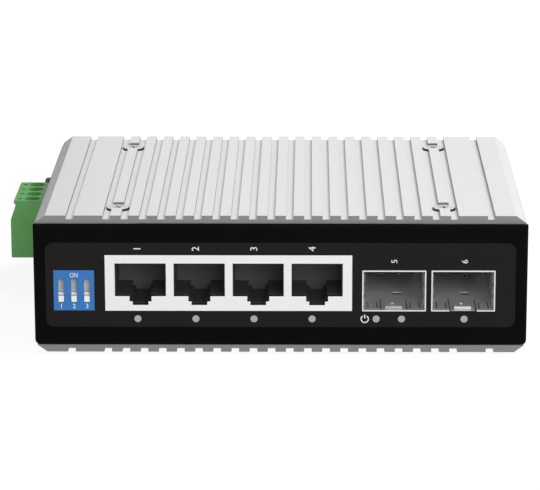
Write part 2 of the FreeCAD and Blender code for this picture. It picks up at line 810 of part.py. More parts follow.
def plug_section():
    """Outline of the plug's outer body in the XZ plane."""
    outer = -half_length - plug_reach
    top = plug_low + plug_height
    face = outer + plug_top_step
    shoulder = plug_shoulder()
    y = plug_width()[0]
    return [V(shoulder, y, plug_low), V(outer + plug_foot_chamfer, y, plug_low),
            V(outer, y, plug_low + plug_foot_chamfer), V(outer, y, top - plug_slant_drop),
            V(face + plug_neck, y, top - plug_lip - plug_neck), V(face + plug_neck, y, top - plug_lip),
            V(face, y, top - plug_lip), V(face, y, top), V(shoulder, y, top)]


def clamp_x():
    """X of the clamp screws' axes."""
    return -half_length - screw_access_x


def plug_body():
    """Moulded plug: screw wells above, wire mouths outside and a tongue for the header."""
    width = plug_width()
    top = plug_low + plug_height
    outer = prism(plug_section(), V(0, width[1] - width[0], 0))
    shoulder = plug_shoulder()
    tongue = block((shoulder - 0.5, shoulder + plug_tongue_length), tongue_width_pair(),
                   (plug_tongue_low, plug_tongue_low + plug_tongue_height))
    cutters = []
    for y in way_ys:
        cutters += way_cutters(y, top)
    for line_z in (plug_tongue_low - 0.2, top - plug_slant_drop - 1.0):
        cutters.append(block((-half_length - plug_reach - 1, -half_length - plug_reach + 0.2),
                             (width[0] - 1, width[1] + 1), span(line_z, 0.3)))
    return fused([outer, tongue]).cut(cutters)


def way_cutters(y, top):
    """Cutters for one way of the plug."""
    x = clamp_x()
    chamber_high = clamp_roof()
    ledge = chamber_high + clamp_ledge
    half = clamp_length / 2 + clamp_gap
    chamber = block((x - half, x + half), span(y, clamp_width + 2 * clamp_gap),
                    (clamp_floor_z - clamp_gap, chamber_high))
    neck = rod(clamp_screw + 0.3, V(x, y, chamber_high - 1), V(x, y, top))
    well = rod(screw_access, V(x, y, ledge), V(x, y, top + 1))
    outer = -half_length - plug_reach
    mouth_z = (clamp_floor_z + clamp_wall, clamp_floor_z + clamp_wall + wire_mouth_height)
    mouth = block((outer - 1, x), span(y, wire_mouth), mouth_z)
    slot = block(span(-half_length - test_slot_x, test_slot), span(y, test_slot), (top - test_slot_depth, top + 1))
    race = block((x, plug_shoulder() + plug_tongue_length + 1), span(y, blade_width + 2 * clamp_gap),
                 span(pin_z, header_pin + 2 * blade_thickness + 4 * blade_pin_gap + 0.3))
    return [chamber, neck, well, mouth, slot, race, wire_flare_cutter(y, outer, mouth_z)]


def wire_flare_cutter(y, outer, mouth_z):
    """Funnel at a wire mouth."""
    near = Part.makePolygon([V(outer + wire_flare, *p) for p in corners(y, wire_mouth, mouth_z, 0)])
    far = Part.makePolygon([V(outer - 0.1, *p) for p in corners(y, wire_mouth, mouth_z, wire_flare)])
    return Part.makeLoft([near, far], True, True)


def corners(y, width, z, grow):
    """Closed ring of (y, z) corners of an opening."""
    y_low, y_high = span(y, width + 2 * grow)
    z_low, z_high = z[0] - grow, z[1] + grow
    return [(y_low, z_low), (y_high, z_low), (y_high, z_high), (y_low, z_high), (y_low, z_low)]


def clamp_roof():
    """Ceiling of the clamp chambers, just over the fully raised clamp."""
    return clamp_high + clamp_travel + clamp_gap


def plug_clamp(y):
    """Cage that rises round the blade when its screw is turned; at rest it is fully open."""
    x = clamp_x()
    cage = block(span(x, clamp_length), span(y, clamp_width), (clamp_floor_z, clamp_high))
    window = block(span(x, clamp_length + 2), span(y, clamp_width - 2 * clamp_side),
                   (clamp_floor_z + clamp_wall, clamp_high - clamp_wall))
    thread = rod(clamp_screw + clamp_screw_gap, V(x, y, blade_top), V(x, y, clamp_high + 1))
    return cage.cut([window, thread])


def plug_screw(y):
    """Slotted clamp screw, held under the plug's ledge with its tip just over the blade."""
    x = clamp_x()
    head_foot = clamp_roof() + clamp_ledge + 0.05
    tip = blade_top + 0.1
    shank = head_foot - tip
    screw = turned([(0, 0), (clamp_screw / 2 - 0.3, 0), (clamp_screw / 2, 0.3), (clamp_screw / 2, shank),
                    (clamp_screw_head / 2, shank), (clamp_screw_head / 2, shank + clamp_screw_head_height),
                    (0, shank + clamp_screw_head_height)], V(x, y, tip), Z)
    head_top = head_foot + clamp_screw_head_height
    slot = block(span(x, clamp_screw_head + 1), span(y, clamp_screw_slot),
                 (head_top - clamp_screw_slot, head_top + 1))
    return screw.cut(slot)


def plug_contacts():
    """Forked blades: a bar through each clamp and two leaves that grip a header pin."""
    contacts = []
    bar_x = (clamp_x() - clamp_length / 2 + 0.2, plug_shoulder() + 1.2)
    leaf_x = (plug_shoulder() + 1.2, plug_shoulder() + plug_tongue_length - 0.4)
    leaf_gap = header_pin / 2 + blade_pin_gap
    for y in way_ys:
        bar = block(bar_x, span(y, blade_width), (blade_top - blade_thickness, blade_top))
        web = block((bar_x[1] - blade_thickness, bar_x[1]), span(y, blade_width),
                    (pin_z - leaf_gap - blade_thickness, blade_top))
        upper = block(leaf_x, span(y, blade_width), (blade_top - blade_thickness, blade_top))
        lower = block(leaf_x, span(y, blade_width),
                      (pin_z - leaf_gap - blade_thickness, pin_z - leaf_gap))
        contacts.append(fused([bar, web, upper, lower]))
    return contacts


# ---- Earth screw --------------------------------------------------------------------
def earth_screw():
    """Pan-head screw through the side wall."""
    seat = V(-half_length - earth_washer_thickness, earth_y, earth_z)
    length = earth_washer_thickness + sheet + earth_nut_height + 0.6
    return pan_screw(seat, -X, length, earth_thread, earth_head, earth_head_height)


def earth_washer_ring():
    """Washer under the earth screw's head."""
    foot = V(-half_length, earth_y, earth_z)
    disc = rod(earth_washer, foot, foot - X * earth_washer_thickness)
    return disc.cut(rod(earth_thread + screw_gap, foot + X, foot - X * (earth_washer_thickness + 1)))


def earth_nut_piece():
    """Nut inside the side wall."""
    foot = V(-half_length + sheet, earth_y, earth_z)
    return nut(foot, X, earth_nut, earth_nut_height, earth_thread)


# ---- Rail clip ----------------------------------------------------------------------
def rail_stop():
    """X of the fixed hook's inner wall."""
    return -rail_width / 2 - rail_play


def din_bracket():
    """Folded steel plate: fixed hook at one end, guide channel for the latch at the other."""
    z = span(middle_z, clip_width)
    lip_y = plate_seat + hook_gap
    hook_tip = -rail_width / 2 + hook_reach
    outline = [(clip_end_x, half_depth), (clip_end_x, plate_seat), (rail_stop(), plate_seat),
               (rail_stop(), lip_y), (hook_tip, lip_y), (hook_tip, lip_y + clip_sheet),
               (rail_stop() - clip_sheet, lip_y + clip_sheet), (rail_stop() - clip_sheet, half_depth)]
    plate = prism([V(x, y, z[0]) for x, y in outline], V(0, 0, clip_width))
    fold = [edge for edge in edges_along(plate, Z) if edge.CenterOfMass.x < rail_stop() - clip_sheet / 2]
    plate = plate.makeFillet(clip_sheet * 0.9, fold)
    rail_room = latch_thickness + 2 * latch_gap
    guide_high = plate_seat + rail_room + clip_sheet
    pieces = [plate]
    for side in (-1, 1):
        edge = middle_z + side * clip_width / 2
        wall = sorted((edge, edge - side * clip_sheet))
        lip = sorted((edge, edge - side * (clip_sheet + guide_lip)))
        pieces.append(block((guide_x, clip_end_x), (half_depth, guide_high), wall))
        pieces.append(block((guide_x, clip_end_x), (guide_high - clip_sheet, guide_high), lip))
    pieces.append(block((lug_x, lug_x + clip_sheet), (half_depth + 0.5, plate_seat + lug_height),
                        span(middle_z, lug_width)))
    holes = [rod(m3 + screw_gap, V(x, half_depth - 1, z0), V(x, plate_seat + 1, z0)) for x, z0 in clip_screw_xz]
    return fused(pieces).cut(holes)


def latch_width():
    """Z pair of the latch."""
    return span(middle_z, clip_width - 2 * clip_sheet - 2 * latch_gap)


def din_latch():
    """Moulded slide with a sloped nose, a spring pocket and a slot for a screwdriver."""
    y_low = plate_seat + latch_gap
    y_high = y_low + latch_thickness
    shoulder = rail_width / 2 + latch_shoulder_play
    nose = rail_width / 2 - latch_nose
    nose_low = plate_seat + hook_gap
    outline = [(shoulder, y_low), (latch_end_x - 1.2, y_low), (latch_end_x, y_low + 1.2),
               (latch_end_x, y_high - 1.2), (latch_end_x - 1.2, y_high), (shoulder + 1.0, y_high),
               (nose, nose_low + 0.6), (nose, nose_low), (shoulder, nose_low)]
    z = latch_width()
    body = prism([V(x, y, z[0]) for x, y in outline], V(0, 0, z[1] - z[0]))
    pocket = block((spring_start(), lug_x + clip_sheet + 0.3), (y_low - 1, y_high - spring_pocket_roof),
                   span(middle_z, spring_pocket_width))
    pull_x = (clip_end_x + latch_end_x) / 2
    pull = block(span(pull_x, pull_slot_length), (y_low - 1, y_high + 1), span(middle_z, pull_slot_width))
    return body.cut([pocket, pull])


def spring_start():
    """X of the spring's end in the latch."""
    return lug_x - 13.0


def din_spring():
    """Compression spring between the latch and the bracket's lug."""
    radius = (spring_diameter - spring_wire) / 2
    start = spring_start() + spring_wire / 2 + 0.05
    length = lug_x - spring_start() - spring_wire - 0.1
    y = plate_seat + latch_gap + (latch_thickness - spring_pocket_roof) / 2
    helix = Part.makeHelix(length / spring_turns, length, radius)
    half = spring_wire / 2
    ring = [V(radius - half, 0, -half), V(radius + half, 0, -half), V(radius + half, 0, half),
            V(radius - half, 0, half)]
    section = Part.makePolygon(ring + ring[:1])
    coil = Part.Wire(helix).makePipeShell([section], True, True)
    place = FreeCAD.Placement(V(start, y, middle_z), FreeCAD.Rotation(Z, X)).toMatrix()
    return coil.transformShape(place)


def din_screws():
    """Screws that hold the bracket to the rear wall."""
    length = clip_sheet + sheet + m3_nut_height + 0.4
    return [m3_pan_screw(V(x, plate_seat, z), Y, length) for x, z in clip_screw_xz]


def din_nuts():
    """Clinch nuts on the rear wall's inner face."""
    face = half_depth - sheet
    return [nut(V(x, face, z), -Y, m3_nut, m3_nut_height, m3) for x, z in clip_screw_xz]


# ---- Board parts --------------------------------------------------------------------
def line_transformers():
    """One isolating transformer behind each RJ45 port."""
    length, depth, height = transformer_size
    return [block(span(x, length), span(transformer_y, depth), (board_top, board_top + height))
            for x in port_xs]


def switch_chip():
    """Switching chip on the board's underside."""
    return block(span(chip_x, chip_size), span(chip_y, chip_size), (board_z - chip_height, board_z))


def thermal_pad():
    """Soft pad between the chip and the heat spreader."""
    high = board_z - chip_height
    return block(span(chip_x, chip_size), span(chip_y, chip_size), (high - pad_thickness, high))


def heat_spreader():
    """Aluminium block that carries the chip's heat to the lower cover."""
    high = board_z - chip_height - pad_thickness
    return block(span(chip_x, spreader_size), span(chip_y, spreader_size), (cover_thickness, high))


def power_capacitors():
    """Upright cans beside the power terminal."""
    return [rod(capacitor_diameter, V(x, y, board_top), V(x, y, board_top + capacitor_height))
            for x, y in capacitors]


def power_inductor():
    """Shielded coil of the power supply."""
    x, y = inductor_xy
    body = block(span(x, inductor_size), span(y, inductor_size), (board_top, board_top + inductor_height))
    return body.makeChamfer(1.5, edges_along(body, Z))


# ---- Nodes --------------------------------------------------------------------------
def nodes():
    """Every piece of the switch by name."""
    made = {
        "top_cover": top_cover(),
        "bottom_cover": turned_over(top_cover()),
        "top_cover_screws": [flat_screw(x, y) for x, y in cover_screw_xy],
        "bottom_cover_screws": [turned_over(flat_screw(x, y)) for x, y in cover_screw_xy],
        "chassis_wrap": chassis_wrap(),
        "front_panel": front_panel(),
        "front_label": front_label(),
        "main_board": main_board(),
        "board_standoffs": board_standoffs(),
        "board_screws": board_screws(),
        "rj45_housing": rj45_housing(),
        "rj45_shield": rj45_shield(),
        "dip_switch_body": dip_switch_body(),
        "dip_switch_base": dip_switch_base(),
        "led_chips": led_chips(),
        "terminal_header": terminal_header(),
        "header_pins": header_pins(),
        "plug_body": plug_body(),
        "plug_contacts": plug_contacts(),
        "earth_screw": earth_screw(),
        "earth_washer": earth_washer_ring(),
        "earth_nut": earth_nut_piece(),
        "din_bracket": din_bracket(),
        "din_latch": din_latch(),
        "din_spring": din_spring(),
        "din_screws": din_screws(),
        "din_nuts": din_nuts(),
        "line_transformers": line_transformers(),
        "switch_chip": switch_chip(),
        "thermal_pad": thermal_pad(),
        "heat_spreader": heat_spreader(),
        "power_capacitors": power_capacitors(),
        "power_inductor": power_inductor(),
    }
    for number, x in enumerate(port_xs, 1):
        made[f"rj45_contacts_{number}"] = rj45_contacts(x)
    for number, x in enumerate(sfp_xs, port_count + 1):
        made[f"sfp_cage_{number}"] = sfp_cage(x)
        made[f"sfp_connector_{number}"] = sfp_connector(x)
    for number, (x, slot_z) in enumerate(dip_slots(), 1):
        made[f"dip_slider_{number}"] = dip_slider(x, slot_z)
    for name, x in light_xs.items():
        made[f"light_pipe_{name}"] = light_pipe_piece(x)
    for number, y in enumerate(way_ys, 1):
        made[f"plug_screw_{number}"] = plug_screw(y)
        made[f"plug_clamp_{number}"] = plug_clamp(y)
    return made


def main():
    """Write each node as a STEP file."""
    os.makedirs("parts", exist_ok=True)
    for name, shape in nodes().items():
        solids = shape if isinstance(shape, list) else [shape]
        Part.makeCompound(solids).exportStep(f"parts/{name}.step")
        print(name, len(solids), [s.isValid() for s in solids].count(False), round(sum(s.Volume for s in solids), 1))


main()
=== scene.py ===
import json
import math

import bmesh
import bpy
from bpy.props import FloatProperty, FloatVectorProperty, IntProperty, PointerProperty
from bpy.types import Operator, Panel, PropertyGroup
from mathutils import Matrix, Vector


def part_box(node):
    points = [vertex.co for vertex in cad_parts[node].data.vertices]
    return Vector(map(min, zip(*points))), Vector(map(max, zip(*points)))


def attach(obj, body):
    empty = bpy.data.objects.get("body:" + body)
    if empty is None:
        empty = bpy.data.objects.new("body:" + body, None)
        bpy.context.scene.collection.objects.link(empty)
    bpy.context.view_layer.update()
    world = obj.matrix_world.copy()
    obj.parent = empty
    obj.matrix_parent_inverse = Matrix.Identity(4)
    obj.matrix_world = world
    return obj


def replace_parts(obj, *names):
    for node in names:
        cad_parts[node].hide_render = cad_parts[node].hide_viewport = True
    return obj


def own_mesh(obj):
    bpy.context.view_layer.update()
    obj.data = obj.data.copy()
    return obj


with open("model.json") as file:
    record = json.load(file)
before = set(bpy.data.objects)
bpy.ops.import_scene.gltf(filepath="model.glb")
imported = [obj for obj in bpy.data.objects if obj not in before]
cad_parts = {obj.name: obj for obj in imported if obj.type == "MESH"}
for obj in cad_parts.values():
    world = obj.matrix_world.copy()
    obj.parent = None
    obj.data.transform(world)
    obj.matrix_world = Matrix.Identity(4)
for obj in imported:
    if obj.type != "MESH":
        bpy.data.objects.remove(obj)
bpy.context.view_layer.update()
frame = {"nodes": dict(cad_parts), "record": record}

bl_info = {
    "name": "DIN rail Ethernet switch",
    "version": (1, 0, 0),
    "blender": (4, 5, 0),
    "location": "3D View > Sidebar > Switch",
    "description": "Screws, printing, finishes and studio round the built switch",
    "category": "Add Mesh",
}

MM = 0.001
HOUSING = "housing"
UP = Vector((0, 0, 1))
ACROSS = Vector((1, 0, 0))
FRONT = Vector((0, -1, 0))
LEFT = Vector((-1, 0, 0))
REAR = Vector((0, 1, 0))


# ---- Places read from the built switch ----------------------------------------------
def low(node):
    """Lowest corner of a built piece."""
    return Vector(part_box(node)[0])


def high(node):
    """Highest corner of a built piece."""
    return Vector(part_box(node)[1])


def middle(node):
    """Middle of a built piece's box."""
    return (low(node) + high(node)) / 2


PORTS = ("1", "2", "3", "4")
CAGES = ("5", "6")
SWITCHES = ("dip_slider_1", "dip_slider_2", "dip_slider_3")
WASHER_STACK = 1.5 * MM     # both washers under the earth screw's head


# ---- Settings -----------------------------------------------------------------------
def length(name, description, default):
    """A size that the user can change, in metres."""
    return FloatProperty(name=name, description=description, default=default, min=0.0,
                         unit="LENGTH", subtype="DISTANCE", precision=5)


def colour(name, description, default):
    """A colour that the user can change."""
    return FloatVectorProperty(name=name, description=description, default=default, size=3,
                               min=0.0, max=1.0, subtype="COLOR")


class ScrewSettings(PropertyGroup):
    """Sizes of the screws' heads and recesses."""
    recess_span: length("Recess span", "Width over a cross recess's wings on an M3 head", 3.1 * MM)
    recess_wing: length("Recess wing", "Width of one wing of the cross recess", 0.62 * MM)
    recess_depth: length("Recess depth", "Depth of the cross recess in an M3 head", 1.1 * MM)
    rounding: length("Rounding", "Edge radius of a pan head", 0.55 * MM)
    raised_head: length("Cover screw head", "Diameter of a cover screw's head", 5.5 * MM)
    raised_crown: length("Cover screw crown", "Height of its edge over the well's floor", 0.75 * MM)
    raised_shank: length("Cover screw shank", "Diameter of its shank", 3.0 * MM)
    earth_head: length("Earth screw head", "Diameter of the earth screw's head", 7.8 * MM)
    earth_crown: length("Earth screw crown", "Height of the earth screw's head", 2.7 * MM)
    clip_head: length("Clip screw head", "Diameter of a clip screw's head", 5.6 * MM)
    clip_crown: length("Clip screw crown", "Height of a clip screw's head", 2.0 * MM)
    around: IntProperty(name="Segments", description="Segments round a head", default=48, min=12, max=128)


class PrintSettings(PropertyGroup):
    """Sizes of what is printed on the label and on the mode switch."""
    ink: length("Ink", "Thickness of the printed ink", 0.02 * MM)
    port_number: length("Port number", "Height of the numbers over the RJ45 ports", 1.7 * MM)
    cage_number: length("Cage number", "Height of the numbers over the SFP cages", 1.45 * MM)
    switch_number: length("Switch number", "Height of the numbers under the mode switches", 1.1 * MM)
    switch_word: length("Switch word", "Height of the word ON", 1.15 * MM)
    mark: length("Power mark", "Width of the power mark", 2.0 * MM)
    field_slack: length("Field slack", "Gap in the field right of each opening", 0.2 * MM)
    field_left: length("Field left", "White field left of the first port's middle", 8.4 * MM)
    field_right: length("Field right", "White field right of the last port's middle", 8.5 * MM)
    field_above: length("Field above", "White field over the ports' openings", 2.05 * MM)
    field_below: length("Field below", "White field under the ports' openings", 1.45 * MM)


class CageSettings(PropertyGroup):
    """Sizes of the formed sheet of the SFP cages."""
    sheet: length("Sheet", "Thickness of the cage's sheet", 0.32 * MM)
    opening_width: length("Opening width", "Width of a cage's opening in the panel", 15.5 * MM)
    opening_height: length("Opening height", "Height of a cage's opening in the panel", 10.3 * MM)
    opening_low: length("Opening low", "Opening's lower edge over the board", 0.1 * MM)
    fit: length("Fit", "Gap between a cage and its opening in the panel", 0.05 * MM)
    leaf: length("Leaf", "Width of the latch leaf", 6.0 * MM)
    leaf_reach: length("Leaf reach", "Depth of the latch leaf's root", 11.0 * MM)
    leaf_drop: length("Leaf drop", "How far the leaf's free end lies below the floor", 0.3 * MM)
    catch: length("Catch", "Width of the latch catch", 4.1 * MM)
    slit: length("Slit", "Width of the slits round the sprung fingers", 0.28 * MM)
    finger: length("Finger", "Width of the sprung fingers in the floor and the walls", 2.2 * MM)


class ColourSettings(PropertyGroup):
    """Main colours of the switch, with the painted shade on the covers' groove walls and cut ends, and how
    deep the grooves are.
    """
    aluminium: colour("Aluminium", "Clear anodised aluminium of the covers", (0.82, 0.82, 0.825))
    # painted shade on the walls of the covers' grooves
    groove_wall: colour("Groove walls", "Shaded walls of the covers' grooves", (0.3, 0.3, 0.3))
    # saw-cut ends; their darker tone is painted shade
    cut_end: colour("Cut ends", "Saw-cut ends of the covers", (0.27, 0.27, 0.275))
    panel: colour("Panel", "Black moulded front panel", (0.0035, 0.0035, 0.0036))
    label: colour("Label", "Dark printed film", (0.0135, 0.0128, 0.0115))
    ink: colour("Ink", "White printing", (0.84, 0.84, 0.84))
    groove: length("Groove", "Depth of the covers' grooves", 0.9 * MM)
    terminal: colour("Terminal", "Green plug and header", (0.105, 0.335, 0.092))
    switch: colour("Mode switch", "Blue case of the mode switch", (0.035, 0.17, 0.47))


class StudioSettings(PropertyGroup):
    """Camera, lamps and floor."""
    lens: FloatProperty(name="Lens", description="Focal length of the camera, in millimetres",
                        default=193.64, min=10.0, max=500.0)
    camera: FloatVectorProperty(name="Camera", description="Place of the camera", size=3, precision=4,
                                default=(0.0069, -0.7167, 0.2057), unit="LENGTH", subtype="TRANSLATION")
    pitch: FloatProperty(name="Pitch", description="How far the camera looks down",
                         default=math.radians(14.872), unit="ROTATION", subtype="ANGLE")
    yaw: FloatProperty(name="Yaw", description="How far the camera turns to the right",
                       default=math.radians(-0.289), unit="ROTATION", subtype="ANGLE")
    shift: FloatProperty(name="Shift", description="Sideways shift of the view", default=-0.0465)
    key: FloatProperty(name="Key lamp", description="Power of the lamp above, in watts",
                       default=11.5, min=0.0)
    fill: FloatProperty(name="Fill lamp", description="Power of the lamp in front, in watts",
                        default=16.5, min=0.0)
    room: FloatProperty(name="Room", description="Strength of the room's light", default=0.14, min=0.0)
    floor: FloatProperty(name="Floor", description="Side of the floor", default=8.0, unit="LENGTH",
                         subtype="DISTANCE")


# ---- Shader nodes as expressions ----------------------------------------------------
class Value:
    """A node's output that takes part in Python arithmetic."""

    def __init__(self, nodes, socket):
        self.nodes = nodes
        self.socket = socket

    def maths(self, operation, *values):
        """The result of a Math node."""
        return self.nodes.node("ShaderNodeMath", {"operation": operation}, dict(enumerate(values)))

    def __add__(self, other):
        return self.maths("ADD", self, other)

    def __sub__(self, other):
        return self.maths("SUBTRACT", self, other)

    def __rsub__(self, other):
        return self.maths("SUBTRACT", other, self)

    def __mul__(self, other):
        return self.maths("MULTIPLY", self, other)

    def __abs__(self):
        return self.maths("ABSOLUTE", self)

    def larger(self, other):
        """The larger of two values."""
        return self.maths("MAXIMUM", self, other)

    def over(self, start, end):
        """0 at start, 1 at end, even in between and level beyond them."""
        return self.nodes.node("ShaderNodeMapRange", {"clamp": True},
                               {"Value": self, "From Min": start, "From Max": end})

    __radd__ = __add__
    __rmul__ = __mul__


class Nodes:
    """A node tree, such as a material's or the room's."""

    def __init__(self, tree):
        self.tree = tree

    def node(self, kind, settings=None, sockets=None, output=0):
        """A new node: its settings first, then its sockets' values or links."""
        made = self.tree.nodes.new(kind)
        for key, value in (settings or {}).items():
            setattr(made, key, value)
        for key, value in (sockets or {}).items():
            self.put(made.inputs[key], value)
        return Value(self, made.outputs[output])

    def put(self, socket, value):
        """Link or set one socket."""
        if isinstance(value, Value):
            self.tree.links.new(value.socket, socket)
        elif socket.type == "RGBA" and len(value) == 3:
            socket.default_value = (*value, 1)
        else:
            socket.default_value = value

    def seen_directly(self):
        """1 for rays that the eye, a mirror or clear glass sees, else 0."""
        eye, mirror, glass = (self.node("ShaderNodeLightPath", output=name)
                              for name in ("Is Camera Ray", "Is Glossy Ray", "Is Transmission Ray"))
        return eye.larger(mirror).larger(glass)


class Finish(Nodes):
    """A material made of nodes round one Principled shader."""

    def __init__(self, name, roughness=0.5, metallic=0.0, **plain):
        self.material = bpy.data.materials.new(name)
        self.material.use_nodes = True
        super().__init__(self.material.node_tree)
        self.shader = self.tree.nodes["Principled BSDF"]
        self.feed("Roughness", roughness)
        self.feed("Metallic", metallic)
        for key, value in plain.items():
            self.feed(key.replace("_", " ").title().replace("Ior", "IOR"), value)
        self.place = self.node("ShaderNodeTexCoord", output="Object")
        self.x, self.y, self.z = (self.node("ShaderNodeSeparateXYZ", sockets={0: self.place}, output=axis)
                                  for axis in "XYZ")

    def feed(self, name, value):
        """Set or link one socket of the shader."""
        self.put(self.shader.inputs[name], value)

    def grain(self, size, detail=2.0, stretch=(1, 1, 1)):
        """Noise from 0 to 1 with grains of a size in metres, stretched along the axes."""
        place = self.node("ShaderNodeMapping", {"vector_type": "POINT"},
                          {"Vector": self.place, "Scale": [1 / (size * s) for s in stretch]})
        return self.node("ShaderNodeTexNoise", {"noise_dimensions": "3D"},
                         {"Vector": place, "Scale": 1.0, "Detail": detail, "Roughness": 0.55})

    def cells(self, size):
        """Cell pattern with cells of a size in metres."""
        return self.node("ShaderNodeTexVoronoi", {"feature": "F1"},
                         {"Vector": self.place, "Scale": 1 / size}, "Distance")

    def blend(self, factor, first, second):
        """Colour between two colours."""
        return self.node("ShaderNodeMix", {"data_type": "RGBA", "clamp_factor": True},
                         {"Factor": factor, 6: first, 7: second}, 2)

    def tint(self, factor, base, dark=0.9, light=1.05):
        """Feed the base colour, varied between a darker and a lighter tone."""
        tones = [[min(c * share, 1.0) for c in base] for share in (dark, light)]
        self.feed("Base Color", self.blend(factor, *tones))

    def relief(self, height, depth, strength=1.0):
        """Bump of a depth in metres."""
        self.feed("Normal", self.node("ShaderNodeBump", {}, {"Height": height, "Distance": depth,
                                                              "Strength": strength}))


# ---- Finishes -----------------------------------------------------------------------
def height_on_covers(finish):
    """A point's height from the middle between the covers, and the fin tops' height from there."""
    middle_height = (low("bottom_cover").z + high("top_cover").z) / 2
    return abs(finish.z - middle_height), high("top_cover").z - middle_height


def cover_aluminium(colours):
    """Fine blasted, clear anodised extrusion, with painted shade on the grooves' walls and saw-cut ends
    darkened by painted shade.
    """
    finish = Finish("cover_aluminium", metallic=0.55, specular_ior_level=0.0)
    lines = finish.grain(0.12 * MM, 2.0, (1, 400, 1))
    cloud = finish.grain(9 * MM, 3.0)
    tone = finish.blend(cloud * 0.6 + lines * 0.4, [c * 0.96 for c in colours.aluminium], colours.aluminium)
    rise, crest = height_on_covers(finish)
    foot = crest - colours.groove
    grooved = 53 * MM           # the grooves' field, to either side of the middle
    # painted shade on the grooves' walls, between their floors and the fin tops
    walls = (rise.over(foot + 0.06 * MM, foot + 0.14 * MM) * rise.over(crest - 0.08 * MM, crest - 0.14 * MM)
             * abs(finish.x).over(grooved + 0.2 * MM, grooved))
    end = high("top_cover").y
    # saw-cut ends: really rougher, and darkened with painted shade
    cut = abs(finish.y).over(end - 0.12 * MM, end - 0.06 * MM)
    tone = finish.blend(walls, tone, colours.groove_wall)
    finish.feed("Base Color", finish.blend(cut, tone, colours.cut_end))
    finish.feed("Roughness", finish.grain(0.4 * MM) * 0.1 + cut * 0.1 + 0.4)
    finish.relief(finish.grain(0.11 * MM, 3.0) * 0.8 + lines * 0.2, 0.004 * MM, 0.6)
    return finish.material


def chassis_aluminium(colours):
    """Satin sheet with the rolling direction along its length."""
    finish = Finish("chassis_aluminium", metallic=1.0)
    rolled = finish.grain(0.1 * MM, 3.0, (120, 120, 1))
    finish.tint(rolled * 0.7 + finish.grain(7 * MM) * 0.3, (0.72, 0.72, 0.725), 0.92)
    finish.feed("Roughness", rolled * 0.12 + 0.3)
    finish.relief(rolled, 0.003 * MM, 0.5)
    return finish.material


def panel_black(colours):
    """Matt black moulding with a fine sparked grain."""
    finish = Finish("panel_black", specular_ior_level=0.02)
    spark = finish.grain(0.09 * MM, 3.0)
    finish.tint(finish.grain(6 * MM), colours.panel, 0.85, 1.15)
    finish.feed("Roughness", spark * 0.14 + 0.5)
    finish.relief(spark, 0.01 * MM, 0.7)
    return finish.material


def label_film(colours):
    """Dark polyester film with a satin face."""
    finish = Finish("label_film", specular_ior_level=0.05)
    web = finish.grain(0.07 * MM, 2.0)
    finish.tint(finish.grain(12 * MM), colours.label, 0.96, 1.06)
    finish.feed("Roughness", web * 0.1 + 0.5)
    finish.relief(web, 0.003 * MM, 0.5)
    return finish.material


def print_white(colours):
    """Screen-printed white ink."""
    finish = Finish("print_white", specular_ior_level=0.3)
    mesh = finish.grain(0.08 * MM, 2.0)
    finish.tint(mesh * 0.5 + finish.grain(3 * MM) * 0.5, colours.ink, 0.97, 1.03)
    finish.feed("Roughness", mesh * 0.1 + 0.5)
    finish.relief(mesh, 0.002 * MM, 0.4)
    return finish.material


def plated_steel(name, base, roughness, patch):
    """Zinc, nickel or tin plate: faint patches and a fine grain."""
    finish = Finish(name, metallic=1.0)
    patches = finish.cells(patch) * 0.5 + finish.grain(patch * 0.7, 3.0) * 0.5
    finish.tint(patches, base, 0.88, 1.06)
    finish.feed("Roughness", patches * 0.12 + roughness)
    finish.relief(finish.grain(0.06 * MM, 3.0), 0.003 * MM, 0.5)
    return finish.material


def cover_screw_steel(colours):
    """Zinc on the cover screws, with painted shade below the top of each head, round its side and in its
    cross.
    """
    finish = Finish("cover_screw_steel", metallic=0.7)
    rise, crest = height_on_covers(finish)
    crown = crest - 0.45 * MM
    unshaded_top = rise.over(crown - 0.06 * MM, crown - 0.03 * MM)
    patches = finish.cells(1.2 * MM) * 0.5 + finish.grain(0.8 * MM, 3.0) * 0.5
    zinc = finish.blend(patches, (0.62, 0.62, 0.62), (0.7, 0.7, 0.7))
    # painted shade: near-black below the heads' tops, zinc above
    finish.feed("Base Color", finish.blend(unshaded_top, (0.05, 0.05, 0.05), zinc))
    finish.feed("Roughness", patches * 0.12 + 0.3)
    return finish.material


def zinc_steel(colours):
    """Zinc on nuts and board screws."""
    return plated_steel("zinc_steel", (0.68, 0.69, 0.71), 0.3, 1.5 * MM)


def tinned_sheet(colours):
    """Tin plated sheet of the cages and the shield, drawn along the depth."""
    finish = Finish("tinned_sheet", metallic=0.5)
    drawn = finish.grain(0.1 * MM, 2.0, (1, 60, 1))
    finish.tint(drawn * 0.5 + finish.grain(4 * MM, 3.0) * 0.5, (0.76, 0.76, 0.76), 0.92, 1.03)
    finish.feed("Roughness", drawn * 0.1 + 0.26)
    finish.relief(drawn, 0.003 * MM, 0.5)
    return finish.material


def terminal_metal(colours):
    """Nickel plate on clamps, screws and blades."""
    return plated_steel("terminal_metal", (0.72, 0.7, 0.65), 0.26, 0.9 * MM)


def clip_steel(colours):
    """Zinc plate with faint spangles on the rail clip."""
    return plated_steel("clip_steel", (0.6, 0.61, 0.63), 0.34, 4.0 * MM)


def spring_steel(colours):
    """Drawn spring wire."""
    return plated_steel("spring_steel", (0.52, 0.52, 0.53), 0.22, 0.8 * MM)


def contact_gold(colours):
    """Gold over nickel on the port contacts."""
    return plated_steel("contact_gold", (0.86, 0.62, 0.24), 0.2, 1.0 * MM)


def standoff_brass(colours):
    """Turned brass with fine tool rings along the height."""
    finish = Finish("standoff_brass", metallic=1.0)
    rings = finish.grain(0.08 * MM, 2.0, (80, 80, 1))
    finish.tint(rings, (0.75, 0.56, 0.24), 0.86, 1.06)
    finish.feed("Roughness", rings * 0.15 + 0.2)
    finish.relief(rings, 0.004 * MM, 0.6)
    return finish.material


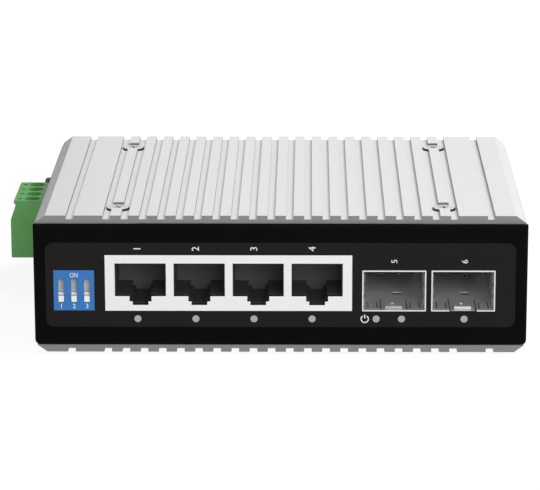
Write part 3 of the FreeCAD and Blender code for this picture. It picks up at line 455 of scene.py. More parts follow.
def spreader_aluminium(colours):
    """Milled aluminium with cutter lines."""
    finish = Finish("spreader_aluminium", metallic=1.0)
    passes = finish.grain(0.2 * MM, 1.0, (1, 90, 1))
    finish.tint(passes, (0.76, 0.76, 0.77), 0.88, 1.05)
    finish.feed("Roughness", passes * 0.15 + 0.25)
    finish.relief(passes, 0.006 * MM, 0.6)
    return finish.material


def can_sleeve(colours):
    """Black sleeve round the capacitors, bare aluminium on top."""
    finish = Finish("can_sleeve")
    top = finish.z.over(high("power_capacitors").z - 0.3 * MM, high("power_capacitors").z - 0.2 * MM)
    wrap = finish.grain(3 * MM, 2.0)
    sleeve = finish.blend(wrap, (0.018, 0.018, 0.022), (0.026, 0.026, 0.03))
    finish.feed("Base Color", finish.blend(top, sleeve, (0.7, 0.7, 0.7)))
    finish.feed("Metallic", top)
    finish.feed("Roughness", wrap * 0.1 + 0.28)
    finish.relief(wrap, 0.01 * MM, 0.4)
    return finish.material


def moulded(name, base, roughness=0.42, grain=0.12 * MM, depth=0.006 * MM, level=0.4):
    """Moulded plastic: a fine grain and a slightly uneven tone."""
    finish = Finish(name, specular_ior_level=level)
    skin = finish.grain(grain, 3.0)
    finish.tint(finish.grain(5 * MM, 3.0), base, 0.93, 1.06)
    finish.feed("Roughness", skin * 0.12 + roughness)
    finish.relief(skin, depth, 0.6)
    return finish.material


def jack_plastic(colours):
    """Dark grey nylon of the port block."""
    return moulded("jack_plastic", (0.062, 0.062, 0.063), 0.6, level=0.2)


def connector_black(colours):
    """Black moulding of the card connectors."""
    return moulded("connector_black", (0.012, 0.012, 0.012), 0.45)


def switch_blue(colours):
    """Glossy blue case of the mode switch."""
    return moulded("switch_blue", tuple(colours.switch), 0.34, 0.2 * MM, 0.003 * MM, 0.35)


def switch_grey(colours):
    """Grey base seen in the mode switch's slots."""
    return moulded("switch_grey", (0.62, 0.62, 0.61), 0.5)


def knob_white(colours):
    """White knobs of the mode switch."""
    return moulded("knob_white", (0.86, 0.86, 0.85), 0.38, 0.15 * MM, 0.003 * MM)


def terminal_green(colours):
    """Green nylon of the plug and its header."""
    return moulded("terminal_green", tuple(colours.terminal), 0.4, 0.1 * MM, 0.008 * MM, 0.5)


def latch_black(colours):
    """Black nylon of the rail latch."""
    return moulded("latch_black", (0.02, 0.02, 0.021), 0.46, 0.15 * MM, 0.012 * MM)


def chip_black(colours):
    """Black epoxy of chips and transformers."""
    return moulded("chip_black", (0.016, 0.016, 0.017), 0.5, 0.08 * MM, 0.01 * MM)


def ferrite(colours):
    """Grey sintered core of the inductor."""
    return moulded("ferrite", (0.06, 0.06, 0.062), 0.55, 0.25 * MM, 0.02 * MM)


def pad_grey(colours):
    """Soft filled silicone pad."""
    return moulded("pad_grey", (0.3, 0.32, 0.35), 0.7, 0.3 * MM, 0.03 * MM, 0.3)


def pipe_frost(colours):
    """Frosted light pipe, dark behind."""
    finish = Finish("pipe_frost", specular_ior_level=0.4)
    frost = finish.grain(0.1 * MM, 2.0)
    finish.tint(frost, (0.39, 0.39, 0.385), 0.92, 1.05)
    finish.feed("Roughness", frost * 0.1 + 0.42)
    finish.relief(frost, 0.006 * MM, 0.5)
    return finish.material


def led_resin(colours):
    """Clear resin over the light chips."""
    return moulded("led_resin", (0.8, 0.78, 0.6), 0.2, 0.3 * MM, 0.002 * MM, 0.5)


def earth_black(colours):
    """Black passivated zinc of the earth screw."""
    finish = Finish("earth_black", metallic=0.6)
    film = finish.grain(0.6 * MM, 3.0)
    finish.tint(film, (0.03, 0.03, 0.032), 0.8, 1.3)
    finish.feed("Roughness", film * 0.15 + 0.3)
    finish.relief(finish.grain(0.08 * MM), 0.004 * MM, 0.5)
    return finish.material


def board_green(colours):
    """Green solder resist with tracks under it."""
    finish = Finish("board_green", coat_weight=0.3, coat_roughness=0.15)
    tracks = finish.node("ShaderNodeTexBrick", {"offset": 0.37, "squash": 0.6},
                         {"Vector": finish.place, "Scale": 120.0, "Mortar Size": 0.03, "Mortar Smooth": 0.1},
                         "Fac")
    resist = finish.blend(finish.grain(6 * MM), (0.006, 0.05, 0.02), (0.009, 0.066, 0.026))
    finish.feed("Base Color", finish.blend(tracks, resist, (0.02, 0.12, 0.045)))
    finish.feed("Roughness", finish.grain(0.3 * MM) * 0.1 + 0.3)
    finish.relief(tracks, 0.03 * MM, 0.5)
    return finish.material


FINISH_OF_SLOT = {
    "cover_aluminium": cover_aluminium, "chassis_aluminium": chassis_aluminium,
    "panel_black": panel_black, "label_film": label_film,
    "cover_screw_steel": cover_screw_steel, "zinc_steel": zinc_steel,
    "board_green": board_green, "standoff_brass": standoff_brass,
    "jack_plastic": jack_plastic, "tinned_sheet": tinned_sheet, "contact_gold": contact_gold,
    "connector_black": connector_black, "switch_blue": switch_blue, "switch_black": switch_grey,
    "knob_white": knob_white, "pipe_clear": pipe_frost, "led_resin": led_resin,
    "terminal_green": terminal_green, "terminal_metal": terminal_metal, "earth_black": earth_black,
    "clip_steel": clip_steel, "latch_black": latch_black, "spring_steel": spring_steel,
    "chip_black": chip_black, "pad_grey": pad_grey, "spreader_aluminium": spreader_aluminium,
    "can_sleeve": can_sleeve, "ferrite": ferrite,
}


FINISHES = {}


def coat(piece, material):
    """Give a piece one material."""
    piece.data.materials.clear()
    piece.data.materials.append(material)


# ---- Mesh helpers -------------------------------------------------------------------
def placed(name, data):
    """A new object in the scene."""
    made = bpy.data.objects.new(name, data)
    bpy.context.scene.collection.objects.link(made)
    return made


def mesh_data(mesh, name="part"):
    """Mesh data from a bmesh, which is freed."""
    data = bpy.data.meshes.new(name)
    mesh.to_mesh(data)
    mesh.free()
    return data


def piece_from(mesh, name, slot=None, body=HOUSING):
    """A finished piece from a bmesh, riding on a body. Without a slot it is white print."""
    piece = placed(name, mesh_data(mesh, name))
    coat(piece, FINISHES[slot or "print_white"])
    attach(piece, body)
    return piece


def add_spun(mesh, outline, steps):
    """Add a turned shape about Z from (radius, height) points, closed on the axis."""
    points = [mesh.verts.new((radius, 0, height)) for radius, height in outline]
    edges = [mesh.edges.new(pair) for pair in zip(points, points[1:])]
    bmesh.ops.spin(mesh, geom=points + edges, cent=(0, 0, 0), axis=UP, angle=2 * math.pi, steps=steps,
                   use_merge=True)
    bmesh.ops.remove_doubles(mesh, verts=mesh.verts, dist=0.001 * MM)
    bmesh.ops.recalc_face_normals(mesh, faces=mesh.faces)


def add_block(mesh, size, centre):
    """Add a box and return its corners."""
    place = Matrix.Translation(centre) @ Matrix.Diagonal((*size, 1))
    return bmesh.ops.create_cube(mesh, size=1.0, matrix=place)["verts"]


def add_copies(whole, part, places=(Matrix.Identity(4),)):
    """Add a copy of a bmesh at each place, and free it."""
    data = mesh_data(part)
    for place in places:
        before = len(whole.verts)
        whole.from_mesh(data)
        whole.verts.ensure_lookup_table()
        bmesh.ops.transform(whole, matrix=place, verts=whole.verts[before:])
    bpy.data.meshes.remove(data)


def cut_away(mesh, cutter):
    """The mesh with another mesh's space taken from it."""
    pair = [placed("part", mesh_data(part)) for part in (mesh, cutter)]
    difference = pair[0].modifiers.new("recess", "BOOLEAN")
    difference.operation = "DIFFERENCE"
    difference.solver = "EXACT"
    difference.object = pair[1]
    result = bpy.data.meshes.new_from_object(pair[0].evaluated_get(bpy.context.evaluated_depsgraph_get()))
    cut = bmesh.new()
    cut.from_mesh(result)
    for data in (pair[0].data, pair[1].data, result):
        bpy.data.meshes.remove(data)
    return cut


def thicken(mesh, offset):
    """Give flat faces a thickness in one direction."""
    raised = bmesh.ops.extrude_face_region(mesh, geom=mesh.faces[:])["geom"]
    far = [item for item in raised if isinstance(item, bmesh.types.BMVert)]
    bmesh.ops.translate(mesh, vec=offset, verts=far)
    bmesh.ops.recalc_face_normals(mesh, faces=mesh.faces)


def smooth_round(mesh, limit=math.radians(32)):
    """Smooth shading with creases kept sharp."""
    for face in mesh.faces:
        face.smooth = True
    for edge in mesh.edges:
        edge.smooth = len(edge.link_faces) == 2 and edge.calc_face_angle() < limit


def facing(direction):
    """The turn that makes +Z look in a direction."""
    return UP.rotation_difference(direction).to_matrix().to_4x4()


# ---- Screws -------------------------------------------------------------------------
def cross_wings(settings, share, top):
    """The two tapered wings that cut a cross into a head whose top is at a height."""
    span = settings.recess_span * share
    wing = settings.recess_wing * share
    depth = settings.recess_depth * share
    taper = 0.4
    for size in ((span, wing, depth * 2), (wing, span, depth * 2)):
        cutter = bmesh.new()
        corners = add_block(cutter, size, (0, 0, top))
        foot = [corner for corner in corners if corner.co.z < top]
        bmesh.ops.scale(cutter, vec=(taper, taper, 1), verts=foot)
        yield cutter


def recessed_screw(settings, outline, share, crown):
    """A turned screw with a cross recess in its crown."""
    screw = bmesh.new()
    add_spun(screw, outline, settings.around)
    for wing in cross_wings(settings, share, crown):
        screw = cut_away(screw, wing)
    smooth_round(screw)
    return screw


def raised_head_outline(settings, shank_end):
    """Half section of a raised countersunk screw whose cone starts at height zero."""
    radius = settings.raised_head / 2
    crown = settings.raised_crown
    shank = settings.raised_shank / 2
    edge = 0.15 * MM
    return [(0, crown), (radius - edge, crown), (radius, crown - edge),
            (radius, 0), (shank, shank - radius), (shank, shank_end + 0.3 * MM), (shank * 0.8, shank_end),
            (0, shank_end)]


def make_cover_screws(settings):
    """Raised cross-recessed screws in the wells of both covers."""
    inset = 2.9 * MM            # a screw's middle from the edge of its node's box
    well = 0.3 * MM             # floor of a well below the built screws' tops
    for node, side in (("top_cover_screws", 1), ("bottom_cover_screws", -1)):
        floor = high(node).z - well if side > 0 else low(node).z + well
        flip = Matrix.Rotation(0 if side > 0 else math.pi, 4, "X")
        places = []
        for x in (low(node).x + inset, high(node).x - inset):
            for y in (low(node).y + inset, high(node).y - inset):
                # each screw came to rest at its own turn
                turn = Matrix.Rotation(math.radians(20 + 1200 * abs(x - y) / MM % 90), 4, "Z")
                places.append(Matrix.Translation((x, y, floor)) @ turn @ flip)
        shank_end = low(node).z - high(node).z + well
        outline = raised_head_outline(settings, shank_end)
        whole = bmesh.new()
        add_copies(whole, recessed_screw(settings, outline, 1.0, settings.raised_crown), places)
        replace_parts(piece_from(whole, f"{node}_detailed", "cover_screw_steel"), node)


def pan_head_outline(radius, crown, shank, reach, rounding):
    """Half section of a pan-head screw whose seat is at height zero."""
    outline = [(0, crown)]
    for step in range(7):
        angle = math.radians(90 - 15 * step)
        outline.append((radius - rounding + rounding * math.cos(angle),
                        crown - rounding + rounding * math.sin(angle)))
    return outline + [(radius, 0), (shank, 0), (shank, -reach + 0.4 * MM), (shank * 0.8, -reach), (0, -reach)]


def make_pan_screws(settings, node, slot, seats, out, radius, crown, shank, reach, share=1.0):
    """Cross-recessed pan-head screws on their seats, facing a direction."""
    outline = pan_head_outline(radius, crown, shank, reach, settings.rounding * share)
    places = [Matrix.Translation(seat) @ facing(out) @ Matrix.Rotation(math.radians(35 + 50 * number), 4, "Z")
              for number, seat in enumerate(seats)]
    whole = bmesh.new()
    add_copies(whole, recessed_screw(settings, outline, share, crown), places)
    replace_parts(piece_from(whole, f"{node}_detailed", slot), node)


def make_earth_screw(settings):
    """Earth screw on its washers, pointing left."""
    seat = Vector((high("earth_washer").x - WASHER_STACK, middle("earth_screw").y, middle("earth_screw").z))
    make_pan_screws(settings, "earth_screw", "earth_black", [seat], LEFT, radius=settings.earth_head / 2,
                    crown=settings.earth_crown, shank=2.0 * MM, reach=high("earth_screw").x - seat.x,
                    share=1.25)


def make_clip_screws(settings):
    """The two screws that hold the rail clip, pointing to the rear."""
    radius = settings.clip_head / 2
    seat_y = high("din_screws").y - settings.clip_crown
    seats = [Vector((x, seat_y, middle("din_screws").z))
             for x in (low("din_screws").x + radius, high("din_screws").x - radius)]
    make_pan_screws(settings, "din_screws", "zinc_steel", seats, REAR, radius=radius,
                    crown=settings.clip_crown, shank=1.5 * MM, reach=seat_y - low("din_screws").y)


def make_earth_washers():
    """Plain washer and split spring washer under the earth screw's head."""
    bore = 2.1 * MM
    plain = (4.3 * MM, 0.0, 0.7 * MM, False)
    spring = (3.4 * MM, 0.72 * MM, WASHER_STACK, True)
    centre = middle("earth_screw")
    place = Matrix.Translation((high("earth_washer").x, centre.y, centre.z)) @ facing(LEFT)
    whole = bmesh.new()
    for radius, start, end, split in (plain, spring):
        ring = bmesh.new()
        add_spun(ring, [(bore, start), (radius, start), (radius, end), (bore, end), (bore, start)], 64)
        if split:
            gap = bmesh.new()
            add_block(gap, (radius, 0.5 * MM, 3 * MM), (radius, 0, 0))
            ring = cut_away(ring, gap)
        smooth_round(ring)
        add_copies(whole, ring, [place])
    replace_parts(piece_from(whole, "earth_washers", "zinc_steel"), "earth_washer")


# ---- SFP cages ----------------------------------------------------------------------
class Cage:
    """Places of one SFP cage, from the built switch and the cage's settings."""

    def __init__(self, settings, number):
        self.node = f"sfp_cage_{number}"
        self.x = middle(f"sfp_connector_{number}").x
        self.front, self.rear = low(self.node).y, high(self.node).y
        self.depth = self.rear - self.front
        self.width = settings.opening_width - 2 * settings.fit
        self.height = settings.opening_height - 2 * settings.fit
        self.floor = high("main_board").z + settings.opening_low + settings.fit
        self.middle = Vector((self.x, (self.front + self.rear) / 2, self.floor + self.height / 2))
        # the right cage's leaf slot runs out through its front edge
        self.leaf_front = 0.7 * MM if number == "6" else 1.0 * MM
        self.slot_front = -self.leaf_front if number == "6" else self.leaf_front
        self.leaf_span = settings.leaf_reach - self.leaf_front


def cage_tube(settings, cage):
    """Square tube, open at the front, with rounded long edges and rim."""
    tube = bmesh.new()
    add_block(tube, (cage.width, cage.depth, cage.height), cage.middle)
    rim = [edge for edge in tube.edges
           if all(abs(vert.co.y - cage.front) < 1e-6 for vert in edge.verts)
           or abs(edge.verts[0].co.y - edge.verts[1].co.y) > 1e-3]
    bmesh.ops.bevel(tube, geom=rim, offset=0.1 * MM, segments=2, affect="EDGES", profile=0.5, material=-1)
    room = bmesh.new()
    add_block(room, (cage.width - 2 * settings.sheet, cage.depth, cage.height - 2 * settings.sheet),
              cage.middle - REAR * settings.sheet)
    return cut_away(tube, room)


def cage_slots(settings, cage):
    """Cutter for the floor: round the leaf and the fingers, for pins, and over the connector."""
    slit, finger = settings.slit, settings.finger
    # across the floor, into the cage, width and length
    slots = [(0, (cage.slot_front + settings.leaf_reach) / 2,
              settings.leaf + 2 * slit, settings.leaf_reach - cage.slot_front),
             (1.1 * MM, 14.8 * MM, 2.1 * MM, 3.0 * MM)]
    for side in (-1, 1):
        for edge in (-1, 1):
            slots.append((side * 5.1 * MM + edge * finger / 2, 5.25 * MM, slit, 6.5 * MM))
            slots.append((side * 2.7 * MM + edge * 0.55 * MM, 32.0 * MM, 0.5 * MM, 2.4 * MM))
    slots.append((0, cage.depth - 7.5 * MM, 12.6 * MM, 12.0 * MM))
    cutter = bmesh.new()
    for across, inwards, width, along in slots:
        place = (cage.x + across, cage.front + inwards, cage.floor)
        add_block(cutter, (width, along, 3 * settings.sheet), place)
    return cutter


def cage_leaf(settings, cage):
    """Sprung latch leaf, tilted down to its free end, with its window, catch and dimple."""
    sheet, drop = settings.sheet, settings.leaf_drop
    root = 0.1 * MM             # overlap with the floor at the leaf's root
    leaf = bmesh.new()
    add_block(leaf, (settings.leaf, cage.leaf_span + root, sheet), (0, root / 2, 0))
    window = bmesh.new()
    add_block(window, (settings.catch, 1.0 * MM, 3 * sheet), (0, 3.6 * MM - cage.leaf_span / 2, 0))
    leaf = cut_away(leaf, window)
    place = Matrix.Translation((cage.x, cage.front + cage.leaf_front + cage.leaf_span / 2,
                                cage.floor + sheet / 2 - drop / 2))
    tilt = Matrix.Rotation(drop / cage.leaf_span, 4, "X")
    bmesh.ops.transform(leaf, matrix=place @ tilt, verts=leaf.verts)
    tall = 0.65 * MM
    catch_y = cage.front + 3.0 * MM
    catch = add_block(leaf, (settings.catch, 2.2 * MM, tall),
                      (cage.x, catch_y, cage.floor + sheet - drop * 0.8 + tall / 2))
    tail = [corner for corner in catch if corner.co.y > catch_y and corner.co.z > cage.floor + sheet]
    bmesh.ops.translate(leaf, vec=(0, 0, -tall * 0.8), verts=tail)
    dimple = Matrix.Translation((cage.x - 0.2 * MM, cage.front + 6.6 * MM, cage.floor + sheet - 0.05 * MM))
    bmesh.ops.create_uvsphere(leaf, u_segments=20, v_segments=10, radius=0.5 * MM,
                              matrix=dimple @ Matrix.Diagonal((1, 1, 0.5, 1)))
    return leaf


def wall_finger(width, reach, sheet, bow):
    """Sprung finger: a strip along Y, bowed up in the middle."""
    strip = bmesh.new()
    bmesh.ops.create_grid(strip, x_segments=1, y_segments=8, size=0.5,
                          matrix=Matrix.Diagonal((width, reach, 1, 1)))
    for vert in strip.verts:
        vert.co.z = bow * math.cos(math.pi * vert.co.y / reach)
    bmesh.ops.solidify(strip, geom=strip.faces[:], thickness=sheet)
    bmesh.ops.recalc_face_normals(strip, faces=strip.faces)
    smooth_round(strip)
    return strip


def make_cage(settings, number):
    """Formed sheet cage: slotted tube, latch leaf with its catch, and sprung fingers in the walls."""
    cage = Cage(settings, number)
    whole = bmesh.new()
    add_copies(whole, cut_away(cage_tube(settings, cage), cage_slots(settings, cage)))
    add_copies(whole, cage_leaf(settings, cage))
    for side in (-1, 1):
        wall = cage.x + side * (cage.width / 2 - settings.sheet)
        turn = Matrix.Rotation(-side * math.pi / 2, 4, "Y")
        places = [Matrix.Translation((wall, cage.front + 3.2 * MM, cage.floor + rise * MM)) @ turn
                  for rise in (1.9, 4.8, 7.7)]
        add_copies(whole, wall_finger(settings.finger, reach=4.4 * MM, sheet=0.12 * MM, bow=0.4 * MM), places)
    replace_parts(piece_from(whole, f"{cage.node}_formed", "tinned_sheet"), cage.node)


# ---- Printing -----------------------------------------------------------------------
def text_mesh(text, height, ink, narrow):
    """Text as a thin mesh in the XZ plane, its middle at the origin, facing forwards."""
    curve = bpy.data.curves.new("text", "FONT")
    curve.body = text
    curve.align_x = "CENTER"
    curve.align_y = "CENTER"
    curve.size = 1.0
    curve.resolution_u = 4
    holder = placed("text", curve)
    data = bpy.data.meshes.new_from_object(holder.evaluated_get(bpy.context.evaluated_depsgraph_get()))
    mesh = bmesh.new()
    mesh.from_mesh(data)
    bpy.data.objects.remove(holder)
    bpy.data.meshes.remove(data)
    bmesh.ops.remove_doubles(mesh, verts=mesh.verts, dist=1e-5)
    corners = [vert.co for vert in mesh.verts]
    span = [(min(c[i] for c in corners), max(c[i] for c in corners)) for i in (0, 1)]
    share = height / (span[1][1] - span[1][0])
    move = Matrix.Translation((-sum(span[0]) / 2, -sum(span[1]) / 2, 0))
    scale = Matrix.Diagonal((share * narrow, share, share, 1))
    bmesh.ops.transform(mesh, matrix=scale @ move, verts=mesh.verts)
    thicken(mesh, UP * ink)
    bmesh.ops.transform(mesh, matrix=Matrix.Rotation(math.pi / 2, 4, "X"), verts=mesh.verts)
    return mesh


def make_text(name, text, height, place, ink, turned=False, narrow=1.0):
    """Printed text on a front face, upright or turned a quarter to the left."""
    mesh = text_mesh(text, height, ink, narrow)
    matrix = Matrix.Translation(place)
    if turned:
        matrix = matrix @ Matrix.Rotation(-math.pi / 2, 4, "Y")
    bmesh.ops.transform(mesh, matrix=matrix, verts=mesh.verts)
    piece_from(mesh, name)


def make_power_mark(settings):
    """Ring open at the top with a bar in the gap, left of the power light."""
    outer = settings.mark / 2
    inner = outer * 0.74
    half = (outer - inner) / 2
    start = math.radians(125)
    mesh = bmesh.new()
    ends = [mesh.verts.new((radius * math.cos(start), 0, radius * math.sin(start)))
            for radius in (inner, outer)]
    bmesh.ops.spin(mesh, geom=ends + [mesh.edges.new(ends)], cent=(0, 0, 0), axis=FRONT,
                   angle=math.radians(290), steps=40)
    mesh.faces.new([mesh.verts.new((x, 0, z)) for x, z in
                    ((-half, outer * 0.15), (half, outer * 0.15), (half, outer * 1.1), (-half, outer * 1.1))])
    thicken(mesh, FRONT * settings.ink)
    light = low("light_pipe_power")
    gap = 0.9 * MM
    place = Matrix.Translation((light.x - outer - gap, low("front_label").y, middle("light_pipe_power").z))
    bmesh.ops.transform(mesh, matrix=place, verts=mesh.verts)
    piece_from(mesh, "power_mark")


def make_port_field(settings):
    """White field with the stepped openings of the four ports left out."""
    face = low("front_label").y
    ports = [middle(f"rj45_contacts_{port}").x for port in PORTS]
    slack = settings.field_slack
    board_top = high("main_board").z
    opening_high = board_top + 11.95 * MM
    # half width and lower edge of each step of an opening
    steps = [(half * MM, board_top + rise * MM) for half, rise in ((6.05, 3.8), (2.55, 2.5), (1.8, 1.6))]
    x_low, x_high = ports[0] - settings.field_left, ports[-1] + settings.field_right
    z_low, z_high = steps[-1][1] - settings.field_below, opening_high + settings.field_above
    field = bmesh.new()
    field.faces.new([field.verts.new((x, face, z)) for x, z in
                     ((x_low, z_low), (x_high, z_low), (x_high, z_high), (x_low, z_high))])
    cuts = [(ACROSS, port + edge) for port in ports for half, _ in steps for edge in (-half, half + slack)]
    cuts += [(UP, height) for _, height in steps] + [(UP, opening_high)]
    for along, value in cuts:
        bmesh.ops.bisect_plane(field, geom=field.verts[:] + field.edges[:] + field.faces[:],
                               dist=1e-7, plane_co=along * value, plane_no=along)

    def in_opening(part):
        """Whether a part of the field lies in a port's opening."""
        centre = part.calc_center_median()
        return any(-half < centre.x - port < half + slack and height < centre.z < opening_high
                   for port in ports for half, height in steps)

    bmesh.ops.delete(field, geom=[part for part in field.faces if in_opening(part)], context="FACES")
    bmesh.ops.dissolve_limit(field, angle_limit=0.01, verts=field.verts, edges=field.edges)
    thicken(field, FRONT * settings.ink)
    piece_from(field, "port_field")


# ---- Reshaped pieces ----------------------------------------------------------------
def merged_copy(node):
    """The mesh of a built piece with its seams merged."""
    mesh = bmesh.new()
    mesh.from_mesh(frame["nodes"][node].data)
    bmesh.ops.remove_doubles(mesh, verts=mesh.verts, dist=0.001 * MM)
    return mesh


def reshaped(mesh, node, slot, body=HOUSING):
    """Put a reshaped mesh in place of a built piece."""
    smooth_round(mesh)
    piece = piece_from(mesh, f"{node}_finished", slot, body)
    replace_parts(piece, node)
    return piece


def make_panel(corner):
    """Front panel with tight upper corners."""
    mesh = merged_copy("front_panel")
    side, top = high("front_panel").x - corner, high("front_panel").z - corner
    for vert in mesh.verts:
        across, up = abs(vert.co.x) - side, vert.co.z - top
        if across > 0 and up > 0:
            share = math.hypot(across, up) / max(across, up)
            vert.co.x = math.copysign(side + min(across * share, corner), vert.co.x)
            vert.co.z = top + min(up * share, corner)
    reshaped(mesh, "front_panel", "panel_black")


def make_plug(chamfer, left):
    """Plug body with a nearly square foot: little of the built chamfer is left."""
    mesh = merged_copy("plug_body")
    face, foot = low("plug_body").x, low("plug_body").z
    for vert in mesh.verts:
        in_face, in_foot = abs(vert.co.x - face) < 1e-6, abs(vert.co.z - foot) < 1e-6
        if in_face and abs(vert.co.z - foot - chamfer) < 1e-6:
            vert.co.z = foot + left
        elif in_foot and abs(vert.co.x - face - chamfer) < 1e-6:
            vert.co.x = face + left
    reshaped(mesh, "plug_body", "terminal_green", "power_plug")


def make_latch_spring():
    """Latch spring in place of the built one, smooth-shaded, on a mesh of its own."""
    piece = reshaped(merged_copy("din_spring"), "din_spring", "spring_steel")
    joints = frame["record"]["behaviour"]["joints"]
    travel = next(joint["range_m"][1] for joint in joints if joint["name"] == "rail_latch_slide")
    span = high("din_spring").x - low("din_spring").x
    end = (high("din_spring").x, middle("din_spring").y, middle("din_spring").z)
    1 - travel / span
    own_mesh(piece)


# ---- Operators ----------------------------------------------------------------------
class SWITCH_OT_finishes(Operator):
    """Give every built piece the finish of its material slot"""
    bl_idname = "switch.finishes"
    bl_label = "Finishes"

    def execute(self, context):
        colours = context.scene.switch_colours
        FINISHES.update((slot, make(colours)) for slot, make in FINISH_OF_SLOT.items())
        FINISHES["print_white"] = print_white(colours)
        for row in frame["record"]["subparts"]:
            coat(frame["nodes"][row["node"]], FINISHES[row["material_slot"]])
        return {"FINISHED"}


class SWITCH_OT_screws(Operator):
    """Put cross-recessed screws in place of the plain ones"""
    bl_idname = "switch.screws"
    bl_label = "Screws"

    def execute(self, context):
        settings = context.scene.switch_screws
        make_cover_screws(settings)
        make_earth_washers()
        make_earth_screw(settings)
        make_clip_screws(settings)
        return {"FINISHED"}


class SWITCH_OT_latch_spring(Operator):
    """Put a smooth-shaded latch spring in place of the built one"""
    bl_idname = "switch.latch_spring"
    bl_label = "Latch spring"

    def execute(self, context):
        make_latch_spring()
        return {"FINISHED"}


class SWITCH_OT_mouldings(Operator):
    """Tighten the panel's upper corners and the plug's foot"""
    bl_idname = "switch.mouldings"
    bl_label = "Mouldings"

    def execute(self, context):
        make_panel(corner=1.4 * MM)
        make_plug(chamfer=0.8 * MM, left=0.18 * MM)
        return {"FINISHED"}


class SWITCH_OT_cages(Operator):
    """Form the sheet of both SFP cages"""
    bl_idname = "switch.cages"
    bl_label = "SFP cages"

    def execute(self, context):
        for number in CAGES:
            make_cage(context.scene.switch_cages, number)
        return {"FINISHED"}


class SWITCH_OT_switch_deck(Operator):
    """Put the grey deck behind the mode switch's knobs"""
    bl_idname = "switch.switch_deck"
    bl_label = "Mode switch deck"

    def execute(self, context):
        case = high("dip_switch_body") - low("dip_switch_body")
        centre = middle("dip_switch_body")
        walls = 1.7 * MM            # both side walls of the case together
        thick = 0.4 * MM
        behind = high("dip_slider_1").y + 0.05 * MM
        deck = bmesh.new()
        add_block(deck, (case.x - walls, thick, case.z - walls), (centre.x, behind + thick / 2, centre.z))
        bmesh.ops.bevel(deck, geom=deck.edges[:], offset=0.05 * MM, segments=1, affect="EDGES", profile=0.5,
                        material=-1)
        piece_from(deck, "switch_deck", "switch_black")
        return {"FINISHED"}


class SWITCH_OT_port_field(Operator):
    """Print the white field round the four ports"""
    bl_idname = "switch.port_field"
    bl_label = "Port field"

    def execute(self, context):
        make_port_field(context.scene.switch_print)
        return {"FINISHED"}


class SWITCH_OT_numbers(Operator):
    """Print the port numbers, the switch numbers and the word ON"""
    bl_idname = "switch.numbers"
    bl_label = "Numbers"

    def execute(self, context):
        settings = context.scene.switch_print
        face = low("front_label").y
        for port in PORTS:
            place = (middle(f"light_pipe_port_{port}").x, face, high("rj45_housing").z + 2.1 * MM)
            make_text(f"port_number_{port}", port, settings.port_number, place, settings.ink, turned=True)
        for cage, below in (("5", "sfp_connector_5"), ("6", "light_pipe_port_6")):
            place = (middle(below).x, face, high(f"sfp_cage_{cage}").z + 2.3 * MM)
            make_text(f"port_number_{cage}", cage, settings.cage_number, place, settings.ink, turned=True)
        case = low("dip_switch_body")
        for number, slider in enumerate(SWITCHES, 1):
            place = (middle(slider).x, case.y, case.z + 1.1 * MM)
            make_text(f"switch_number_{number}", str(number), settings.switch_number, place, settings.ink)
        place = (middle("dip_slider_2").x, case.y, high("dip_switch_body").z - 1.2 * MM)
        make_text("switch_word", "ON", settings.switch_word, place, settings.ink, narrow=0.78)
        make_power_mark(settings)
        return {"FINISHED"}


class SWITCH_OT_studio(Operator):
    """Set up the floor, the lamps, the room's light and the camera"""
    bl_idname = "switch.studio"
    bl_label = "Studio"

    def execute(self, context):
        studio = context.scene.switch_studio
        make_floor(studio)
        make_room(context.scene, studio)
        make_lamp("key_lamp", studio.key, size=0.6, place=(0.55, 0.05, 1.05))
        make_lamp("fill_lamp", studio.fill, size=0.9, place=(0.3, -1.3, 0.3))
        make_shade_card()
        make_camera(context.scene, studio)
        context.scene.view_settings.view_transform = "Standard"
        return {"FINISHED"}


# ---- Studio -------------------------------------------------------------------------
def make_floor(studio):
    """Pale floor that stays white to the eye and keeps a soft shadow."""
    mesh = bmesh.new()
    bmesh.ops.create_grid(mesh, x_segments=1, y_segments=1, size=studio.floor / 2,
                          matrix=Matrix.Translation((0, 0, -0.05 * MM)))
    floor = placed("floor", mesh_data(mesh))
    finish = Finish("floor_white", 0.9, specular_ior_level=0.0)
    finish.feed("Base Color", (0.45, 0.45, 0.45))
    white = finish.node("ShaderNodeEmission", {}, {"Color": (1, 1, 1), "Strength": 0.88})
    pale = finish.node("ShaderNodeBsdfDiffuse", {}, {"Color": (0.2, 0.2, 0.2)})
    shown = finish.node("ShaderNodeAddShader", {}, {0: white, 1: pale})
    lit = Value(finish, finish.shader.outputs[0])
    surface = finish.node("ShaderNodeMixShader", {}, {0: finish.seen_directly(), 1: lit, 2: shown})
    finish.put(finish.tree.nodes["Material Output"].inputs["Surface"], surface)
    coat(floor, finish.material)


def make_room(scene, studio):
    """White surroundings for the eye, with a plain grey light on the object."""
    scene.world = bpy.data.worlds.new("room")
    scene.world.use_nodes = True
    room = Nodes(scene.world.node_tree)
    background = room.tree.nodes["Background"]
    room.put(background.inputs["Color"], (1, 1, 1))
    room.put(background.inputs["Strength"], room.seen_directly() * (1 - studio.room) + studio.room)


def make_lamp(name, power, size, place):
    """Soft square lamp that faces the switch and is left out of reflections, so metal keeps its tone."""
    lamp = bpy.data.lights.new(name, "AREA")
    lamp.energy = power
    lamp.size = size
    holder = placed(name, lamp)
    holder.location = place
    holder.visible_glossy = False
    holder.rotation_euler = (-Vector(place)).to_track_quat("-Z", "Y").to_euler()


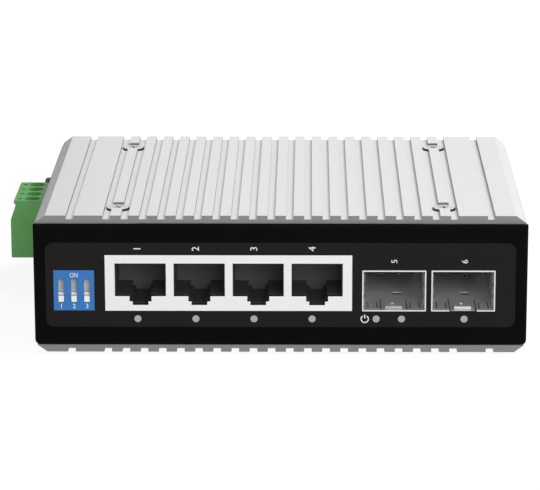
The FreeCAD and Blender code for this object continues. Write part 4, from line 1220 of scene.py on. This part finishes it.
def make_shade_card():
    """Dark cards, one standing behind and one lying left of the switch, seen only in reflections."""
    mesh = bmesh.new()
    add_block(mesh, size=(0.42, 0.004, 0.34), centre=(-0.32, 0.55, 0.16))
    add_block(mesh, size=(0.44, 0.54, 0.002), centre=(-0.29, 0.28, 0.001))
    card = placed("shade_card", mesh_data(mesh))
    finish = Finish("card_black", 0.9)
    finish.feed("Base Color", (0.01, 0.01, 0.01))
    coat(card, finish.material)
    for kind in ("camera", "diffuse", "transmission", "shadow"):
        setattr(card, f"visible_{kind}", False)


def make_camera(scene, studio):
    """Long lens from a little above the front."""
    lens = bpy.data.cameras.new("camera")
    lens.lens = studio.lens
    lens.sensor_width = 36.0
    lens.shift_x = studio.shift
    scene.camera = placed("camera", lens)
    scene.camera.location = studio.camera
    scene.camera.rotation_euler = (math.pi / 2 - studio.pitch, 0, -studio.yaw)


# ---- Panel and registration ---------------------------------------------------------
GROUPS = (("switch_screws", ScrewSettings), ("switch_print", PrintSettings),
          ("switch_cages", CageSettings), ("switch_colours", ColourSettings),
          ("switch_studio", StudioSettings))
STEPS = (SWITCH_OT_finishes, SWITCH_OT_screws, SWITCH_OT_latch_spring, SWITCH_OT_mouldings, SWITCH_OT_cages,
         SWITCH_OT_switch_deck, SWITCH_OT_port_field, SWITCH_OT_numbers, SWITCH_OT_studio)


class SWITCH_PT_panel(Panel):
    """Sidebar panel with each step and its settings"""
    bl_idname = "SWITCH_PT_panel"
    bl_label = "Ethernet switch"
    bl_space_type = "VIEW_3D"
    bl_region_type = "UI"
    bl_category = "Switch"

    def draw(self, context):
        for step in STEPS:
            self.layout.operator(step.bl_idname)
        for name, group in GROUPS:
            box = self.layout.box()
            for setting in group.__annotations__:
                box.prop(getattr(context.scene, name), setting)


CLASSES = tuple(group for _, group in GROUPS) + STEPS + (SWITCH_PT_panel,)


def register():
    """Make the classes and their settings known to Blender."""
    for made in CLASSES:
        bpy.utils.register_class(made)
    for name, group in GROUPS:
        setattr(bpy.types.Scene, name, PointerProperty(type=group))


def unregister():
    """Take the classes and their settings away again."""
    for name, _ in GROUPS:
        delattr(bpy.types.Scene, name)
    for made in reversed(CLASSES):
        bpy.utils.unregister_class(made)


def main():
    """Register the classes and run every step."""
    register()
    for step in STEPS:
        group, name = step.bl_idname.split(".")
        getattr(getattr(bpy.ops, group), name)()


if __name__ == "__main__":
    main()
